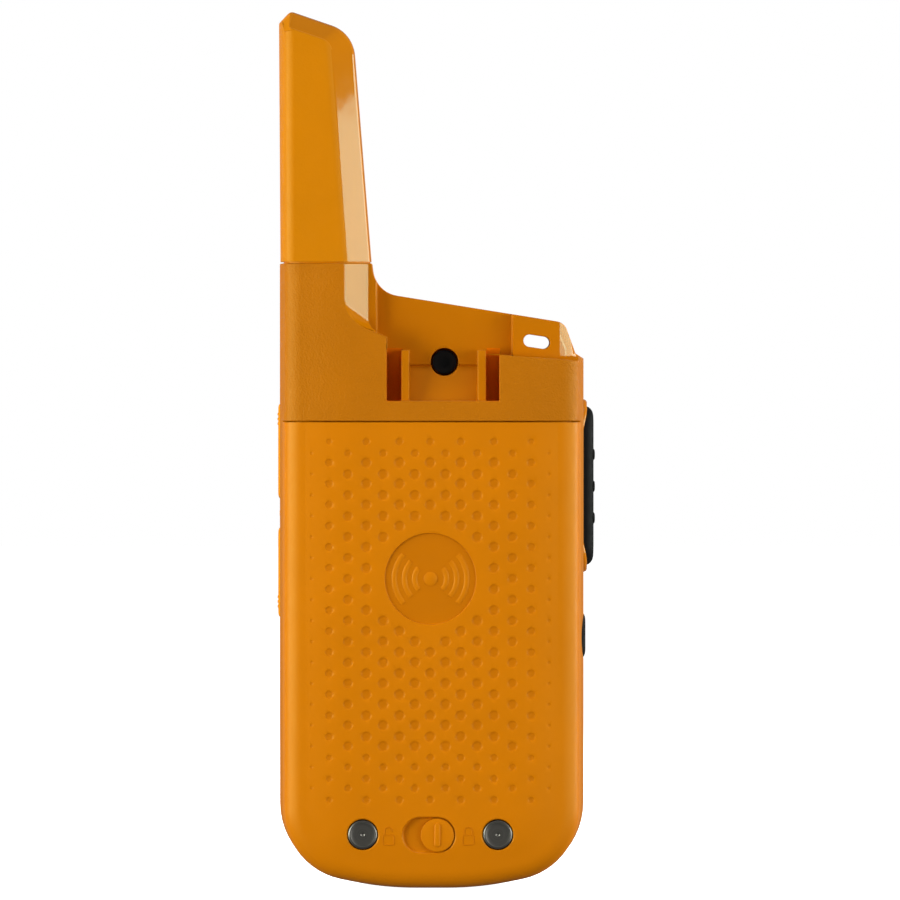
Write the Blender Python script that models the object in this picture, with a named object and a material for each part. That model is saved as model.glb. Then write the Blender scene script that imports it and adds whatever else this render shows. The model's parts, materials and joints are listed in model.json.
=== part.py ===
"""Two way radio with a stub antenna, modelled as separate parts.

The sizes below are in millimetres and the helpers turn them into metres. +Z is up, +Y points out of the back,
-Y out of the front, and the antenna stands on the +X side. The origin is in the middle of the flat foot.
"""

import math

import bmesh
import bpy
from mathutils import Matrix, Vector

MM = 0.001

# Fits
GAP = 0.3                    # clearance between neighbouring parts
MERGE = 0.00001              # weld distance in metres

# Body
HALF_WIDTH = 28.5
HALF_DEPTH = 15.5
FOOT_VERTEX = 11.5           # where the flat foot's line meets the sloping bottom edge
FOOT_RADIUS = 60.0
CORNER_HEIGHT = 2.6          # height of the bottom corner's vertex before it is rounded
CORNER_RADIUS = 14.2
EDGE_RADIUS = 4.0            # rounding between the sides and the front or back face
EDGE_STEPS = 3
DRAFT = 1.0                  # how far the sides lean in before that rounding
SPLIT = -3.0                 # where the front housing ends
STUB_TOP = 117.1             # top of the housing's antenna stub
STUB_INNER_X = 11.2
TOP_FILLET = (10.6, 111.7, 5.5)
TOP_CORNER = (-24.9, 106.0, 2.5)
SHOULDER = (-28.5, 98.6, 1.5)
ABOVE = 131.0                # a height above the stub, for cutters
OUTSIDE = 31.0               # a width outside the body, for cutters
BEHIND = 17.0                # a depth behind the body, for cutters

# Rear housing and its clip bay
REAR_FRONT = SPLIT + GAP
TEXTURE_EDGE_X = 16.3
TAB_BACK = 12.0
SHELF_BACK = 9.0
BAY_LEFT = 8.4
BAY_RIGHT = -12.7
BAY_BOTTOM = 91.3
BAY_TOP = 100.8
RIBS = ((4.19, 5.66), (-10.2, -8.64))
RIB_BACK = 14.2
TAB_EDGE_X = -15.2
WELL = (-2.4, 98.6)
WELL_RADIUS = 2.6
WELL_FLOOR = 4.0
SLOT = (-19.7, 102.4, 5.0, 2.3)
SLOT_TILT = math.radians(8.5)

# Battery cover and the tray under it
SEAM = 87.3
COVER_FRONT = 6.3
COVER_WALL = 1.5
TRAY_WALL = COVER_WALL + GAP
TRAY_FLOOR = -1.2
TRAY = (22.35, 17.1, 74.0)   # half width, bottom, top
GROOVE = (24.2, 15.3, 75.8)
GROOVE_WIDTH = 1.2
HINGE_Y = 15.3
HOOKS_X = (-15.0, 15.0)
EMBLEM = (0.2, 58.0, 8.6)
EMBLEM_DEPTH = 0.35
CONTACTS_X = (12.9, -12.4)
CONTACT_Z = 10.1
CONTACT_RADIUS = 2.87
LATCH_SLOT = (0.5, 10.0, 9.9, 6.7)
LATCH_RADIUS = 3.0
LATCH_TRAVEL = 3.2
LATCH_X = LATCH_SLOT[0] - LATCH_TRAVEL / 2

# Battery
CELL_RADIUS = 7.1
CELL_PITCH = 14.8
CELL_Y = 6.4
CELL_BOTTOM = 20.5
CELL_TOP = 71.0
NUB_HEIGHT = 1.0

# Antenna
ANTENNA_BASE = STUB_TOP + GAP
ANTENNA_TOP = 164.5
ANTENNA_X = 20.4
ANTENNA_Y = 3.6
ANTENNA_BORE = 4.0
COIL_RADIUS = 3.1
COIL_WIRE = 0.45
COIL_TURNS = 8

# Front
WALL = 3.2
FRONT_INNER = -13.0
BEZEL = (21.5, 46.0, 101.0)
BEZEL_FLOOR = -14.2
WINDOW = (16.0, 74.0, 96.0)
KEYS = {
    "key_power": (13.5, 66.0),
    "key_up": (0.0, 66.0),
    "key_call": (-13.5, 66.0),
    "key_menu": (13.5, 55.0),
    "key_down": (0.0, 55.0),
    "key_scan": (-13.5, 55.0),
}
KEY_SIZE = (9.6, 6.4)
KEY_INNER = -13.3
SPEAKER = (0.0, 27.0)
SPEAKER_RADIUS = 13.5
GRILLE_SLOTS = 7
GRILLE_PITCH = 3.4
MICROPHONE = (0.0, 8.6)
BOARD_FRONT = -5.0
BOARD_BACK = -4.0
SCREWS = ((20.0, 13.0), (-20.0, 13.0), (22.0, 79.5), (-22.0, 79.5))

# Sides
PTT = (-12.0, -5.0, 60.2, 90.2)
PTT_INNER = -27.0
PTT_OUTER = -30.4
PTT_RIDGES = (81.1, 75.1, 69.1)
SIDE_BUTTON = (-10.5, -6.5, 42.6, 51.3)
FLAP_Y = (-12.5, -5.0)
FLAP_INNER = 27.3
FLAP_OUTER = 29.0
FLAP_HINGE_X = 27.6
UPPER_HINGE_Z = 72.2
LOWER_HINGE_Z = 67.9
UPPER_FLAP_TOP = 90.9
LOWER_FLAP_BOTTOM = 50.2
JACK = (-8.0, 85.3)
PORT = (-7.2, 58.5)

ORANGE = (0.60, 0.19, 0.006)
BLACK = (0.012, 0.013, 0.014)
CHARCOAL = (0.03, 0.032, 0.035)
STEEL = (0.55, 0.55, 0.56)
BRASS = (0.72, 0.50, 0.20)

for leftover in list(bpy.data.objects):
    bpy.data.objects.remove(leftover)

parts = bpy.data.collections.new("two_way_radio")
cutters = bpy.data.collections.new("cutters")
bpy.context.scene.collection.children.link(parts)
bpy.context.scene.collection.children.link(cutters)


# ---------------------------------------------------------------- helpers

def add_object(name, mesh, finish=None):
    """A part when it has a finish (colour, roughness, metallic), and otherwise a cutter."""
    thing = bpy.data.objects.new(name, mesh)
    if finish is None:
        thing.display_type = "WIRE"
        thing.hide_render = True
        cutters.objects.link(thing)
        return thing
    colour, roughness, metallic = finish
    material = bpy.data.materials.new(name)
    material.use_nodes = True
    shader = material.node_tree.nodes["Principled BSDF"]
    shader.inputs["Base Color"].default_value = (*colour, 1.0)
    shader.inputs["Roughness"].default_value = roughness
    shader.inputs["Metallic"].default_value = metallic
    mesh.materials.append(material)
    parts.objects.link(thing)
    return thing


def finish_mesh(name, work, finish):
    """Turn a bmesh in millimetres into an object in metres."""
    bmesh.ops.recalc_face_normals(work, faces=work.faces)
    bmesh.ops.scale(work, vec=(MM, MM, MM), verts=work.verts)
    mesh = bpy.data.meshes.new(name)
    work.to_mesh(mesh)
    work.free()
    return add_object(name, mesh, finish)


def box(name, low, high, finish=None):
    work = bmesh.new()
    size = Vector(high) - Vector(low)
    centre = (Vector(high) + Vector(low)) / 2
    bmesh.ops.create_cube(work, size=1.0, matrix=Matrix.Translation(centre) @ Matrix.Diagonal((*size, 1.0)))
    return finish_mesh(name, work, finish)


def cylinder(name, start, end, radius, finish=None, segments=20, end_radius=None):
    """A cylinder or cone between two points."""
    work = bmesh.new()
    start, end = Vector(start), Vector(end)
    turn = (end - start).to_track_quat("Z", "Y").to_matrix().to_4x4()
    bmesh.ops.create_cone(
        work, cap_ends=True, segments=segments, radius1=radius,
        radius2=radius if end_radius is None else end_radius, depth=(end - start).length,
        matrix=Matrix.Translation((start + end) / 2) @ turn,
    )
    return finish_mesh(name, work, finish)


def outline(corners, inset=0.0, steps=4):
    """Points of a closed counter-clockwise outline whose corners are (x, z, radius), moved inwards by inset."""
    points = []
    count = len(corners)
    for index, (x, z, radius) in enumerate(corners):
        here = Vector((x, z))
        arriving = (here - Vector(corners[index - 1][:2])).normalized()
        leaving = (Vector(corners[(index + 1) % count][:2]) - here).normalized()
        turn = math.atan2(arriving.x * leaving.y - arriving.y * leaving.x, arriving.dot(leaving))
        inward = Vector((-arriving.y, arriving.x))
        both = inward + Vector((-leaving.y, leaving.x))
        vertex = here + both * inset * 2 / both.length_squared
        side = 1 if turn > 0 else -1
        round_radius = max(radius - inset, 0.2) if turn > 0 else radius
        if radius == 0:
            points.append(vertex)
            continue
        start = vertex - arriving * round_radius * math.tan(abs(turn) / 2)
        centre = start + inward * round_radius * side
        for step in range(steps + 1):
            spoke = start - centre
            spoke.rotate(Matrix.Rotation(turn * step / steps, 2))
            points.append(centre + spoke)
    return points


def stadium(x, z, width, height, tilt=0.0, steps=4):
    """A slot outline with round ends, longer or taller as its width and height say."""
    radius = min(width, height) / 2
    half = Vector((width, height)) / 2
    corners = [(-half.x, -half.y), (half.x, -half.y), (half.x, half.y), (-half.x, half.y)]
    points = outline([(u, v, radius * 0.999) for u, v in corners], steps=steps)
    for point in points:
        point.rotate(Matrix.Rotation(tilt, 2))
    return [point + Vector((x, z)) for point in points]


PLANES = {
    "XZ": Matrix(((1, 0, 0, 0), (0, 0, -1, 0), (0, 1, 0, 0), (0, 0, 0, 1))),
    "YZ": Matrix(((0, 0, 1, 0), (1, 0, 0, 0), (0, 1, 0, 0), (0, 0, 0, 1))),
    "XY": Matrix.Identity(4),
}


def slab(name, points, low, high, finish=None, plane="XZ"):
    """A flat outline in a plane, as thick as from low to high along the third axis."""
    curve = bpy.data.curves.new(name, "CURVE")
    curve.dimensions = "2D"
    curve.fill_mode = "BOTH"
    curve.extrude = (high - low) / 2 * MM
    spline = curve.splines.new("POLY")
    spline.points.add(len(points) - 1)
    for knot, point in zip(spline.points, points):
        knot.co = (point[0] * MM, point[1] * MM, 0.0, 1.0)
    spline.use_cyclic_u = True
    middle = (low + high) / 2 * MM
    placed = PLANES[plane].copy()
    third = "XYZ".index((set("XYZ") - set(plane)).pop())
    placed[third][3] = middle
    return mesh_from_curve(name, curve, placed, finish)


def mesh_from_curve(name, curve, placed, finish):
    """Make the curve a welded mesh, so that it can be cut and can cut."""
    guide = bpy.data.objects.new(name + "_curve", curve)
    cutters.objects.link(guide)
    bpy.context.view_layer.update()
    mesh = bpy.data.meshes.new_from_object(guide.evaluated_get(bpy.context.evaluated_depsgraph_get()))
    bpy.data.objects.remove(guide)
    bpy.data.curves.remove(curve)
    mesh.name = name
    mesh.materials.clear()
    work = bmesh.new()
    work.from_mesh(mesh)
    bmesh.ops.remove_doubles(work, verts=work.verts, dist=MERGE)
    bmesh.ops.transform(work, matrix=placed, verts=work.verts)
    bmesh.ops.recalc_face_normals(work, faces=work.faces)
    work.to_mesh(mesh)
    work.free()
    return add_object(name, mesh, finish)


def wire(name, points, radius, finish):
    """A wire of one POLY spline through the points."""
    curve = bpy.data.curves.new(name, "CURVE")
    curve.dimensions = "3D"
    curve.bevel_depth = radius * MM
    curve.bevel_resolution = 2
    curve.use_fill_caps = True
    spline = curve.splines.new("POLY")
    spline.points.add(len(points) - 1)
    for knot, point in zip(spline.points, points):
        knot.co = (*(Vector(point) * MM), 1.0)
    return mesh_from_curve(name, curve, Matrix.Identity(4), finish)


def helix(centre, start_radius, end_radius, low, high, turns, steps=8):
    """Points along a vertical coil."""
    total = turns * steps
    points = []
    for step in range(total + 1):
        share = step / total
        angle = math.tau * turns * share
        radius = start_radius + (end_radius - start_radius) * share
        points.append((centre[0] + radius * math.cos(angle), centre[1] + radius * math.sin(angle),
                       low + (high - low) * share))
    return points


def loft(name, rings, finish=None):
    """A closed body through rings of equally many points, for sections that aren't alike."""
    work = bmesh.new()
    loops = [[work.verts.new(point) for point in ring] for ring in rings]
    count = len(loops[0])
    for near, far in zip(loops, loops[1:]):
        for index in range(count):
            after = (index + 1) % count
            work.faces.new((near[index], near[after], far[after], far[index]))
    work.faces.new(loops[0])
    work.faces.new(loops[-1])
    return finish_mesh(name, work, finish)


def combine(target, tool, operation="DIFFERENCE"):
    """Cut the tool out of the target, join it on, or keep only what both share."""
    modifier = target.modifiers.new(tool.name, "BOOLEAN")
    modifier.operation = operation
    modifier.solver = "EXACT"
    modifier.object = tool
    return target


def cut(target, *tools):
    for tool in tools:
        combine(target, tool, "DIFFERENCE")


def join(target, *tools):
    for tool in tools:
        combine(target, tool, "UNION")


def move_origin(thing, point):
    """Put a moving part's origin on its joint's axis."""
    shift = Vector(point) * MM
    thing.data.transform(Matrix.Translation(-shift))
    thing.location = shift


PLASTIC_ORANGE = (ORANGE, 0.45, 0.0)
RUBBER_ORANGE = (ORANGE, 0.6, 0.0)
RUBBER_BLACK = (BLACK, 0.6, 0.0)
PLASTIC_BLACK = (CHARCOAL, 0.35, 0.0)
METAL = (STEEL, 0.3, 1.0)
YELLOW_METAL = (BRASS, 0.3, 1.0)

BODY_CORNERS = [
    (-FOOT_VERTEX, 0.0, FOOT_RADIUS),
    (FOOT_VERTEX, 0.0, FOOT_RADIUS),
    (HALF_WIDTH, CORNER_HEIGHT, CORNER_RADIUS),
    (HALF_WIDTH, ABOVE, 2.0),
    (-HALF_WIDTH, ABOVE, 2.0),
    (-HALF_WIDTH, CORNER_HEIGHT, CORNER_RADIUS),
]
RIM_CORNERS = BODY_CORNERS[:3] + [
    (HALF_WIDTH, STUB_TOP, 0.5),
    (STUB_INNER_X, STUB_TOP, 0.5),
    TOP_FILLET,
    TOP_CORNER,
    SHOULDER,
    BODY_CORNERS[-1],
]


def body_half(name, start, face, wall=0.0, finish=None):
    """Half of the body's outer form, from the depth start to the front or back face, wall deep inside it.

    The sides lean in from the split to the rounded edge, but the foot stays flat.
    """
    way = 1 if face > 0 else -1
    centre = face - way * EDGE_RADIUS
    reach = EDGE_RADIUS - wall
    levels = [(DRAFT * (start - SPLIT) / (centre - SPLIT), wall, start)]
    for step in range(EDGE_STEPS + 1):
        angle = math.pi / 2 * step / EDGE_STEPS
        levels.append((DRAFT, EDGE_RADIUS - reach * math.cos(angle), centre + way * reach * math.sin(angle)))
    rings = []
    for lean, inset, y in levels:
        rings.append([(p.x, y, p.y - lean) for p in outline(BODY_CORNERS, lean + inset)])
    return loft(name, rings, finish)


def over_top(name):
    """Everything above the housing's top edge: the stub, the sloping edge and the shoulder."""
    corners = [(OUTSIDE, ABOVE + 2, 0), (-OUTSIDE, ABOVE + 2, 0), (-OUTSIDE, SHOULDER[1], 0), SHOULDER, TOP_CORNER,
               TOP_FILLET, (STUB_INNER_X, STUB_TOP, 0), (OUTSIDE, STUB_TOP, 0)]
    return slab(name, outline(corners), -BEHIND, BEHIND)


def slot_cutter(name, low, high):
    x, z, width, height = SLOT
    return slab(name, stadium(x, z, width, height, SLOT_TILT), low, high)


def prism_x(name, profile, low, high):
    """A (y, z) profile drawn out along X."""
    return slab(name, profile, low, high, plane="YZ")


def ring_outline(half_width, bottom, top, radius):
    return outline([(-half_width, bottom, radius), (half_width, bottom, radius),
                    (half_width, top, radius), (-half_width, top, radius)])


# ---------------------------------------------------------------- rear housing

def make_rear_housing():
    housing = body_half("rear_housing", REAR_FRONT, HALF_DEPTH, finish=PLASTIC_ORANGE)
    cut(housing, over_top("cut_over_top_rear"))
    cut_shelf(housing)
    cut_clip_bay(housing)
    cut_cover_zone(housing)
    cut_tray(housing)
    cut_inside(housing)
    cut(housing, slot_cutter("cut_lanyard_slot_rear", -BEHIND, BEHIND))


def cut_shelf(housing):
    """The smooth surfaces below the textured back: the tab round the lanyard slot, and the deep shelf."""
    def region(edge_x, vertex_z, radius):
        return outline([(-OUTSIDE, 98.5, 0), (BAY_RIGHT, 100.0, 0), (BAY_LEFT, BAY_TOP, 0), (BAY_LEFT, 103.3, 0),
                        (edge_x, vertex_z, radius), (edge_x, ABOVE + 2, 0), (-OUTSIDE, ABOVE + 2, 0)])
    deep_x, deep_z, deep_radius = 10.9, 104.3, 1.5
    levels = [(TAB_BACK, deep_x, deep_z, deep_radius), (HALF_DEPTH, TEXTURE_EDGE_X, 106.4, 6.5),
              (BEHIND, TEXTURE_EDGE_X, 106.4, 6.5)]
    rings = [[(p.x, y, p.y) for p in region(x, z, radius)] for y, x, z, radius in levels]
    cut(housing, loft("cut_tab_level", rings))
    shelf = [(TAB_EDGE_X, 99.8), (BAY_LEFT, BAY_TOP), (BAY_LEFT, 103.3), (10.4, 104.1), (10.4, ABOVE),
             (TAB_EDGE_X, ABOVE)]
    cut(housing, slab("cut_shelf_level", shelf, SHELF_BACK, TAB_BACK + 1))


def cut_clip_bay(housing):
    """Two dark pockets, a ramped panel between two ribs, and the round screw well."""
    pocket = [(5.5, BAY_BOTTOM), (BEHIND, BAY_BOTTOM), (BEHIND, 101.6), (SHELF_BACK, 101.6), (5.5, 95.5)]
    ramp = [(11.5, BAY_BOTTOM), (BEHIND, BAY_BOTTOM), (BEHIND, 101.4), (SHELF_BACK, 101.4), (SHELF_BACK, 97.9)]
    (left_rib_in, left_rib_out), (right_rib_out, right_rib_in) = RIBS
    cut(
        housing,
        prism_x("cut_pocket_left", pocket, left_rib_out, BAY_LEFT),
        prism_x("cut_pocket_right", pocket, BAY_RIGHT, right_rib_out),
        prism_x("cut_clip_ramp", ramp, right_rib_in, left_rib_in),
        box("cut_rib_backs", (BAY_RIGHT + 1, RIB_BACK, BAY_BOTTOM), (BAY_LEFT - 1, BEHIND, BAY_TOP + 1)),
        cylinder("cut_well", (WELL[0], WELL_FLOOR, WELL[1]), (WELL[0], BEHIND, WELL[1]), WELL_RADIUS, segments=32),
        cylinder("cut_well_bore", (WELL[0], REAR_FRONT - 1, WELL[1]), (WELL[0], WELL_FLOOR + 1, WELL[1]), 1.3,
                 segments=16),
    )


def cut_cover_zone(housing):
    """Leave only the tray's form under the battery cover."""
    zone = box("cut_cover_zone", (-OUTSIDE, COVER_FRONT - GAP, -5), (OUTSIDE, BEHIND, SEAM + GAP))
    cut(zone, body_half("keep_tray_form", COVER_FRONT - 3, HALF_DEPTH, TRAY_WALL))
    cut(housing, zone)


def groove_ring(name, shrink, low, high, finish=None):
    half_width, bottom, top = GROOVE
    width = GROOVE_WIDTH - 2 * shrink
    ring = slab(name, ring_outline(half_width - shrink, bottom + shrink, top - shrink, 2.5), low, high, finish)
    inner = ring_outline(half_width - shrink - width, bottom + shrink + width, top - shrink - width, 1.5)
    cut(ring, slab(name + "_middle", inner, low - 1, high + 1))
    return ring


def cut_tray(housing):
    half_width, bottom, top = TRAY
    cut(housing, box("cut_tray", (-half_width, TRAY_FLOOR, bottom), (half_width, BEHIND, top)))
    cut(housing, groove_ring("cut_battery_groove", 0.0, 12.4, BEHIND))
    for index, x in enumerate(CONTACTS_X):
        head = cylinder(f"cut_contact_head_{index}", (x, 12.6, CONTACT_Z), (x, BEHIND, CONTACT_Z), 3.2)
        post = cylinder(f"cut_contact_post_{index}", (x, REAR_FRONT - 1, CONTACT_Z), (x, 13, CONTACT_Z), 1.5,
                        segments=16)
        cut(housing, head, post)
    cut(housing, box("cut_latch_pocket", (-8.0, 11.1, 4.6), (9.2, BEHIND, 14.9)))
    for index, (x, z) in enumerate(SCREWS):
        head = cylinder(f"cut_screw_head_{index}", (x, 10.2, z), (x, BEHIND, z), 2.2)
        shank = cylinder(f"cut_screw_shank_{index}", (x, REAR_FRONT - 1, z), (x, 11, z), 1.25, segments=16)
        cut(housing, head, shank)
    for index, x in enumerate(HOOKS_X):
        low, high = x - 3.5, x + 3.5
        cut(
            housing,
            box(f"cut_hook_slot_{index}", (low, 10.8, SEAM - 4), (high, 13.5, SEAM + 2.7)),
            box(f"cut_hook_mouth_{index}", (low, 10.8, SEAM - 4.2), (high, BEHIND, SEAM + 0.2)),
        )


def cut_inside(housing):
    """The hollow behind the main board, the feed's bore and the groove of the housing gasket."""
    hollow = outline([(-25, 89.5, 1), (25, 89.5, 1), (25, 103.8, 1), (-15, 103.8, 1), (-15, 98, 1), (-25, 98, 1)],
                     steps=2)
    cut(housing, slab("cut_upper_hollow", hollow, REAR_FRONT - 1, 2.5))
    cut(housing, cylinder("cut_feed_bore", (ANTENNA_X, ANTENNA_Y, 98), (ANTENNA_X, ANTENNA_Y, STUB_TOP + 1), 3.0))
    groove = slab("cut_housing_groove", outline(RIM_CORNERS, 1.0), REAR_FRONT - 1, REAR_FRONT + 0.8)
    cut(groove, slab("cut_housing_groove_middle", outline(RIM_CORNERS, 2.2), REAR_FRONT - 2, REAR_FRONT + 2))
    cut(housing, groove)


def make_seals():
    gasket = slab("housing_gasket", outline(RIM_CORNERS, 1.3), REAR_FRONT, REAR_FRONT + 0.5, RUBBER_BLACK)
    cut(gasket, slab("housing_gasket_middle", outline(RIM_CORNERS, 1.9), REAR_FRONT - 1, REAR_FRONT + 2))
    groove_ring("battery_gasket", GAP, 12.7, 13.4, RUBBER_BLACK)


# ---------------------------------------------------------------- battery cover, latch and contacts

def make_battery_cover():
    cover = body_half("battery_cover", COVER_FRONT, HALF_DEPTH, finish=PLASTIC_ORANGE)
    cut(cover, body_half("cut_cover_inside", COVER_FRONT - 3, HALF_DEPTH, COVER_WALL))
    cut(cover, box("cut_cover_top", (-OUTSIDE, -BEHIND, SEAM), (OUTSIDE, BEHIND, ABOVE + 5)))
    x, z, width, height = LATCH_SLOT
    join(cover, box("join_latch_pad", (x - 6.8, 12.9, z - 4.5), (x + 6.8, 14.2, z + 4.2)))
    for index, hook_x in enumerate(HOOKS_X):
        low, high = hook_x - 3, hook_x + 3
        join(cover, box(f"join_hook_root_{index}", (low, 11.9, SEAM - 2), (high, 14.2, SEAM - 0.1)))
        join(cover, box(f"join_hook_tongue_{index}", (low, 11.9, SEAM - 1), (high, 13.1, SEAM + 2)))
    cut(cover, slab("cut_latch_recess", stadium(x, z, width, height), 14.5, BEHIND))
    cut(cover, slab("cut_latch_slot", stadium(x, z, LATCH_TRAVEL + 2.7, 2.7), 12, BEHIND))
    for index, contact_x in enumerate(CONTACTS_X):
        cut(cover, cylinder(f"cut_cover_contact_{index}", (contact_x, 12, CONTACT_Z), (contact_x, BEHIND, CONTACT_Z),
                            CONTACT_RADIUS + 0.33))
    x, z, radius = EMBLEM
    cut(cover, cylinder("cut_emblem", (x, HALF_DEPTH - EMBLEM_DEPTH, z), (x, BEHIND, z), radius, segments=48))
    move_origin(cover, (0, HINGE_Y, SEAM))


def make_latch():
    z = LATCH_SLOT[1]
    latch = cylinder("battery_latch", (LATCH_X, 14.8, z), (LATCH_X, 15.4, z), LATCH_RADIUS, PLASTIC_ORANGE, 32)
    join(
        latch,
        box("join_latch_ridge", (LATCH_X - 0.5, 15.2, z - 2.2), (LATCH_X + 0.5, 15.8, z + 2.2)),
        cylinder("join_latch_stem", (LATCH_X, 12.0, z), (LATCH_X, 15.0, z), 1.0, segments=16),
        box("join_latch_tongue", (LATCH_X - 3.5, 11.5, z - 1.4), (LATCH_X + 1.5, 12.5, z + 1.4)),
    )
    move_origin(latch, (LATCH_X, 14.8, z))


def make_contacts():
    for side, x in zip(("left", "right"), CONTACTS_X):
        contact = cylinder(f"charge_contact_{side}", (x, 13.0, CONTACT_Z), (x, 15.3, CONTACT_Z), CONTACT_RADIUS,
                           METAL, 32)
        join(contact, cylinder(f"join_contact_post_{side}", (x, -2.4, CONTACT_Z), (x, 13.5, CONTACT_Z), 1.1,
                               segments=16))


# ---------------------------------------------------------------- battery

def make_battery():
    middle = (CELL_BOTTOM + CELL_TOP) / 2
    for index in range(3):
        number = index + 1
        x = (index - 1) * CELL_PITCH
        way = -1 if index == 1 else 1
        half = (CELL_TOP - CELL_BOTTOM) / 2
        minus, plus = middle - way * half, middle + way * half
        cell = cylinder(f"battery_cell_{number}", (x, CELL_Y, minus), (x, CELL_Y, plus - way * NUB_HEIGHT),
                        CELL_RADIUS, (CHARCOAL, 0.3, 0.2), 32)
        join(cell, cylinder(f"join_cell_nub_{number}", (x, CELL_Y, middle), (x, CELL_Y, plus), 2.75, segments=16))
        spring = helix((x, CELL_Y), 3.4, 2.0, minus - way * 2.6, minus - way * 0.75, 3)
        wire(f"battery_spring_{number}", spring, 0.4, METAL)
        plate = sorted((plus + way * GAP, plus + way * (GAP + 0.4)))
        box(f"battery_plate_{number}", (x - 4.5, CELL_Y - 4.5, plate[0]), (x + 4.5, CELL_Y + 4.5, plate[1]), METAL)


# ---------------------------------------------------------------- antenna

def make_antenna():
    """A sleeve that narrows upwards, with a facet along its inner back edge, round a coil on a core."""
    def section(inner_x, front, back, z):
        facet = 4.6
        corners = [(HALF_WIDTH, front, 3.0), (HALF_WIDTH - 0.001, back, 1.5), (inner_x + facet, back, 1.0),
                   (inner_x, back - facet, 1.0), (inner_x, front, 3.0)]
        return [(p.x, p.y, z) for p in outline(corners, steps=4)]
    sleeve = loft("antenna_cover", [section(11.4, -8.8, 15.2, ANTENNA_BASE), section(14.3, -2.2, 11.5, 168.0)],
                  PLASTIC_ORANGE)
    crown = outline([(31, 162.4, 0), (31, 172, 0), (8, 172, 0), (8, 150, 0), (13.9, 150, 0), (14.9, 160.4, 5.0),
                     (26.4, ANTENNA_TOP + 0.1, 1.0), (28.2, 162.9, 1.0)])
    cut(sleeve, slab("cut_antenna_crown", crown, -BEHIND, BEHIND))
    cut(sleeve, cylinder("cut_antenna_bore", (ANTENNA_X, ANTENNA_Y, 110), (ANTENNA_X, ANTENNA_Y, 152),
                         ANTENNA_BORE, segments=24))
    cylinder("antenna_core", (ANTENNA_X, ANTENNA_Y, 118.4), (ANTENNA_X, ANTENNA_Y, 150.5), 2.2,
             ((0.8, 0.78, 0.7), 0.5, 0.0))
    coil = helix((ANTENNA_X, ANTENNA_Y), COIL_RADIUS, COIL_RADIUS, 119.5, 149.5, COIL_TURNS)
    wire("antenna_coil", coil, COIL_WIRE, YELLOW_METAL)
    feed = cylinder("antenna_feed", (ANTENNA_X, ANTENNA_Y, 99.0), (ANTENNA_X, ANTENNA_Y, 118.0), 1.1, YELLOW_METAL)
    join(feed, cylinder("join_feed_collar", (ANTENNA_X, ANTENNA_Y, 108), (ANTENNA_X, ANTENNA_Y, 111), 2.4))


# ---------------------------------------------------------------- front housing

def make_front_housing():
    housing = body_half("front_housing", SPLIT, -HALF_DEPTH, finish=PLASTIC_ORANGE)
    cut(housing, over_top("cut_over_top_front"))
    slope = [(-BEHIND, 100.5), (-8.8, STUB_TOP), (-8.8, ABOVE), (-BEHIND, ABOVE)]
    cut(housing, prism_x("cut_stub_slope", slope[::-1], STUB_INNER_X - 3, OUTSIDE))
    cavity = BODY_CORNERS[:3] + [(HALF_WIDTH, 107, 4), (-18.2, 107, 4), (-18.2, 101.2, 1),
                                 (-HALF_WIDTH, 101.2, 4), BODY_CORNERS[-1]]
    cut(housing, slab("cut_front_cavity", outline(cavity, WALL), FRONT_INNER, SPLIT + 1))
    ptt_frame = stadium((PTT[0] + PTT[1]) / 2, (PTT[2] + PTT[3]) / 2, 9.6, 33.4)
    join(housing, slab("join_ptt_frame", ptt_frame, -29.3, -26.0, plane="YZ"))
    for index, (x, z) in enumerate(SCREWS):
        join(housing, cylinder(f"join_boss_{index}", (x, FRONT_INNER - 0.5, z), (x, SPLIT - 0.3, z), 2.5))
        cut(housing, cylinder(f"cut_pilot_{index}", (x, -10, z), (x, SPLIT + 1, z), 1.2, segments=16))
    cut_front_openings(housing)
    cut_side_openings(housing)
    cut(housing, slot_cutter("cut_lanyard_slot_front", -BEHIND, BEHIND))


def cut_front_openings(housing):
    half_width, bottom, top = BEZEL
    panel = ring_outline(half_width + GAP, bottom - GAP, top + GAP, 4)
    cut(housing, slab("cut_bezel_pocket", panel, -BEHIND, BEZEL_FLOOR))
    half_width, bottom, top = WINDOW
    cut(housing, slab("cut_window", ring_outline(half_width - 1, bottom + 1, top - 1, 1), -BEHIND, -12))
    for name, (x, z) in KEYS.items():
        hole = stadium(x, z, KEY_SIZE[0] + 2 * GAP, KEY_SIZE[1] + 2 * GAP, steps=3)
        cut(housing, slab(f"cut_{name}", hole, -BEHIND, -12))
    for index in range(GRILLE_SLOTS):
        offset = (index - (GRILLE_SLOTS - 1) / 2) * GRILLE_PITCH
        length = 2 * math.sqrt(SPEAKER_RADIUS ** 2 - offset ** 2) - 3
        slot = stadium(SPEAKER[0], SPEAKER[1] + offset, length, 1.5, steps=2)
        cut(housing, slab(f"cut_grille_{index}", slot, -BEHIND, -12))
    x, z = MICROPHONE
    cut(housing, cylinder("cut_microphone_hole", (x, -BEHIND, z), (x, -12, z), 0.7, segments=12))


def side_outline(front, back, bottom, top, gap=0.0):
    """A stadium in the side's (y, z) plane."""
    return stadium((front + back) / 2, (bottom + top) / 2, back - front + 2 * gap, top - bottom + 2 * gap)


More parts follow.
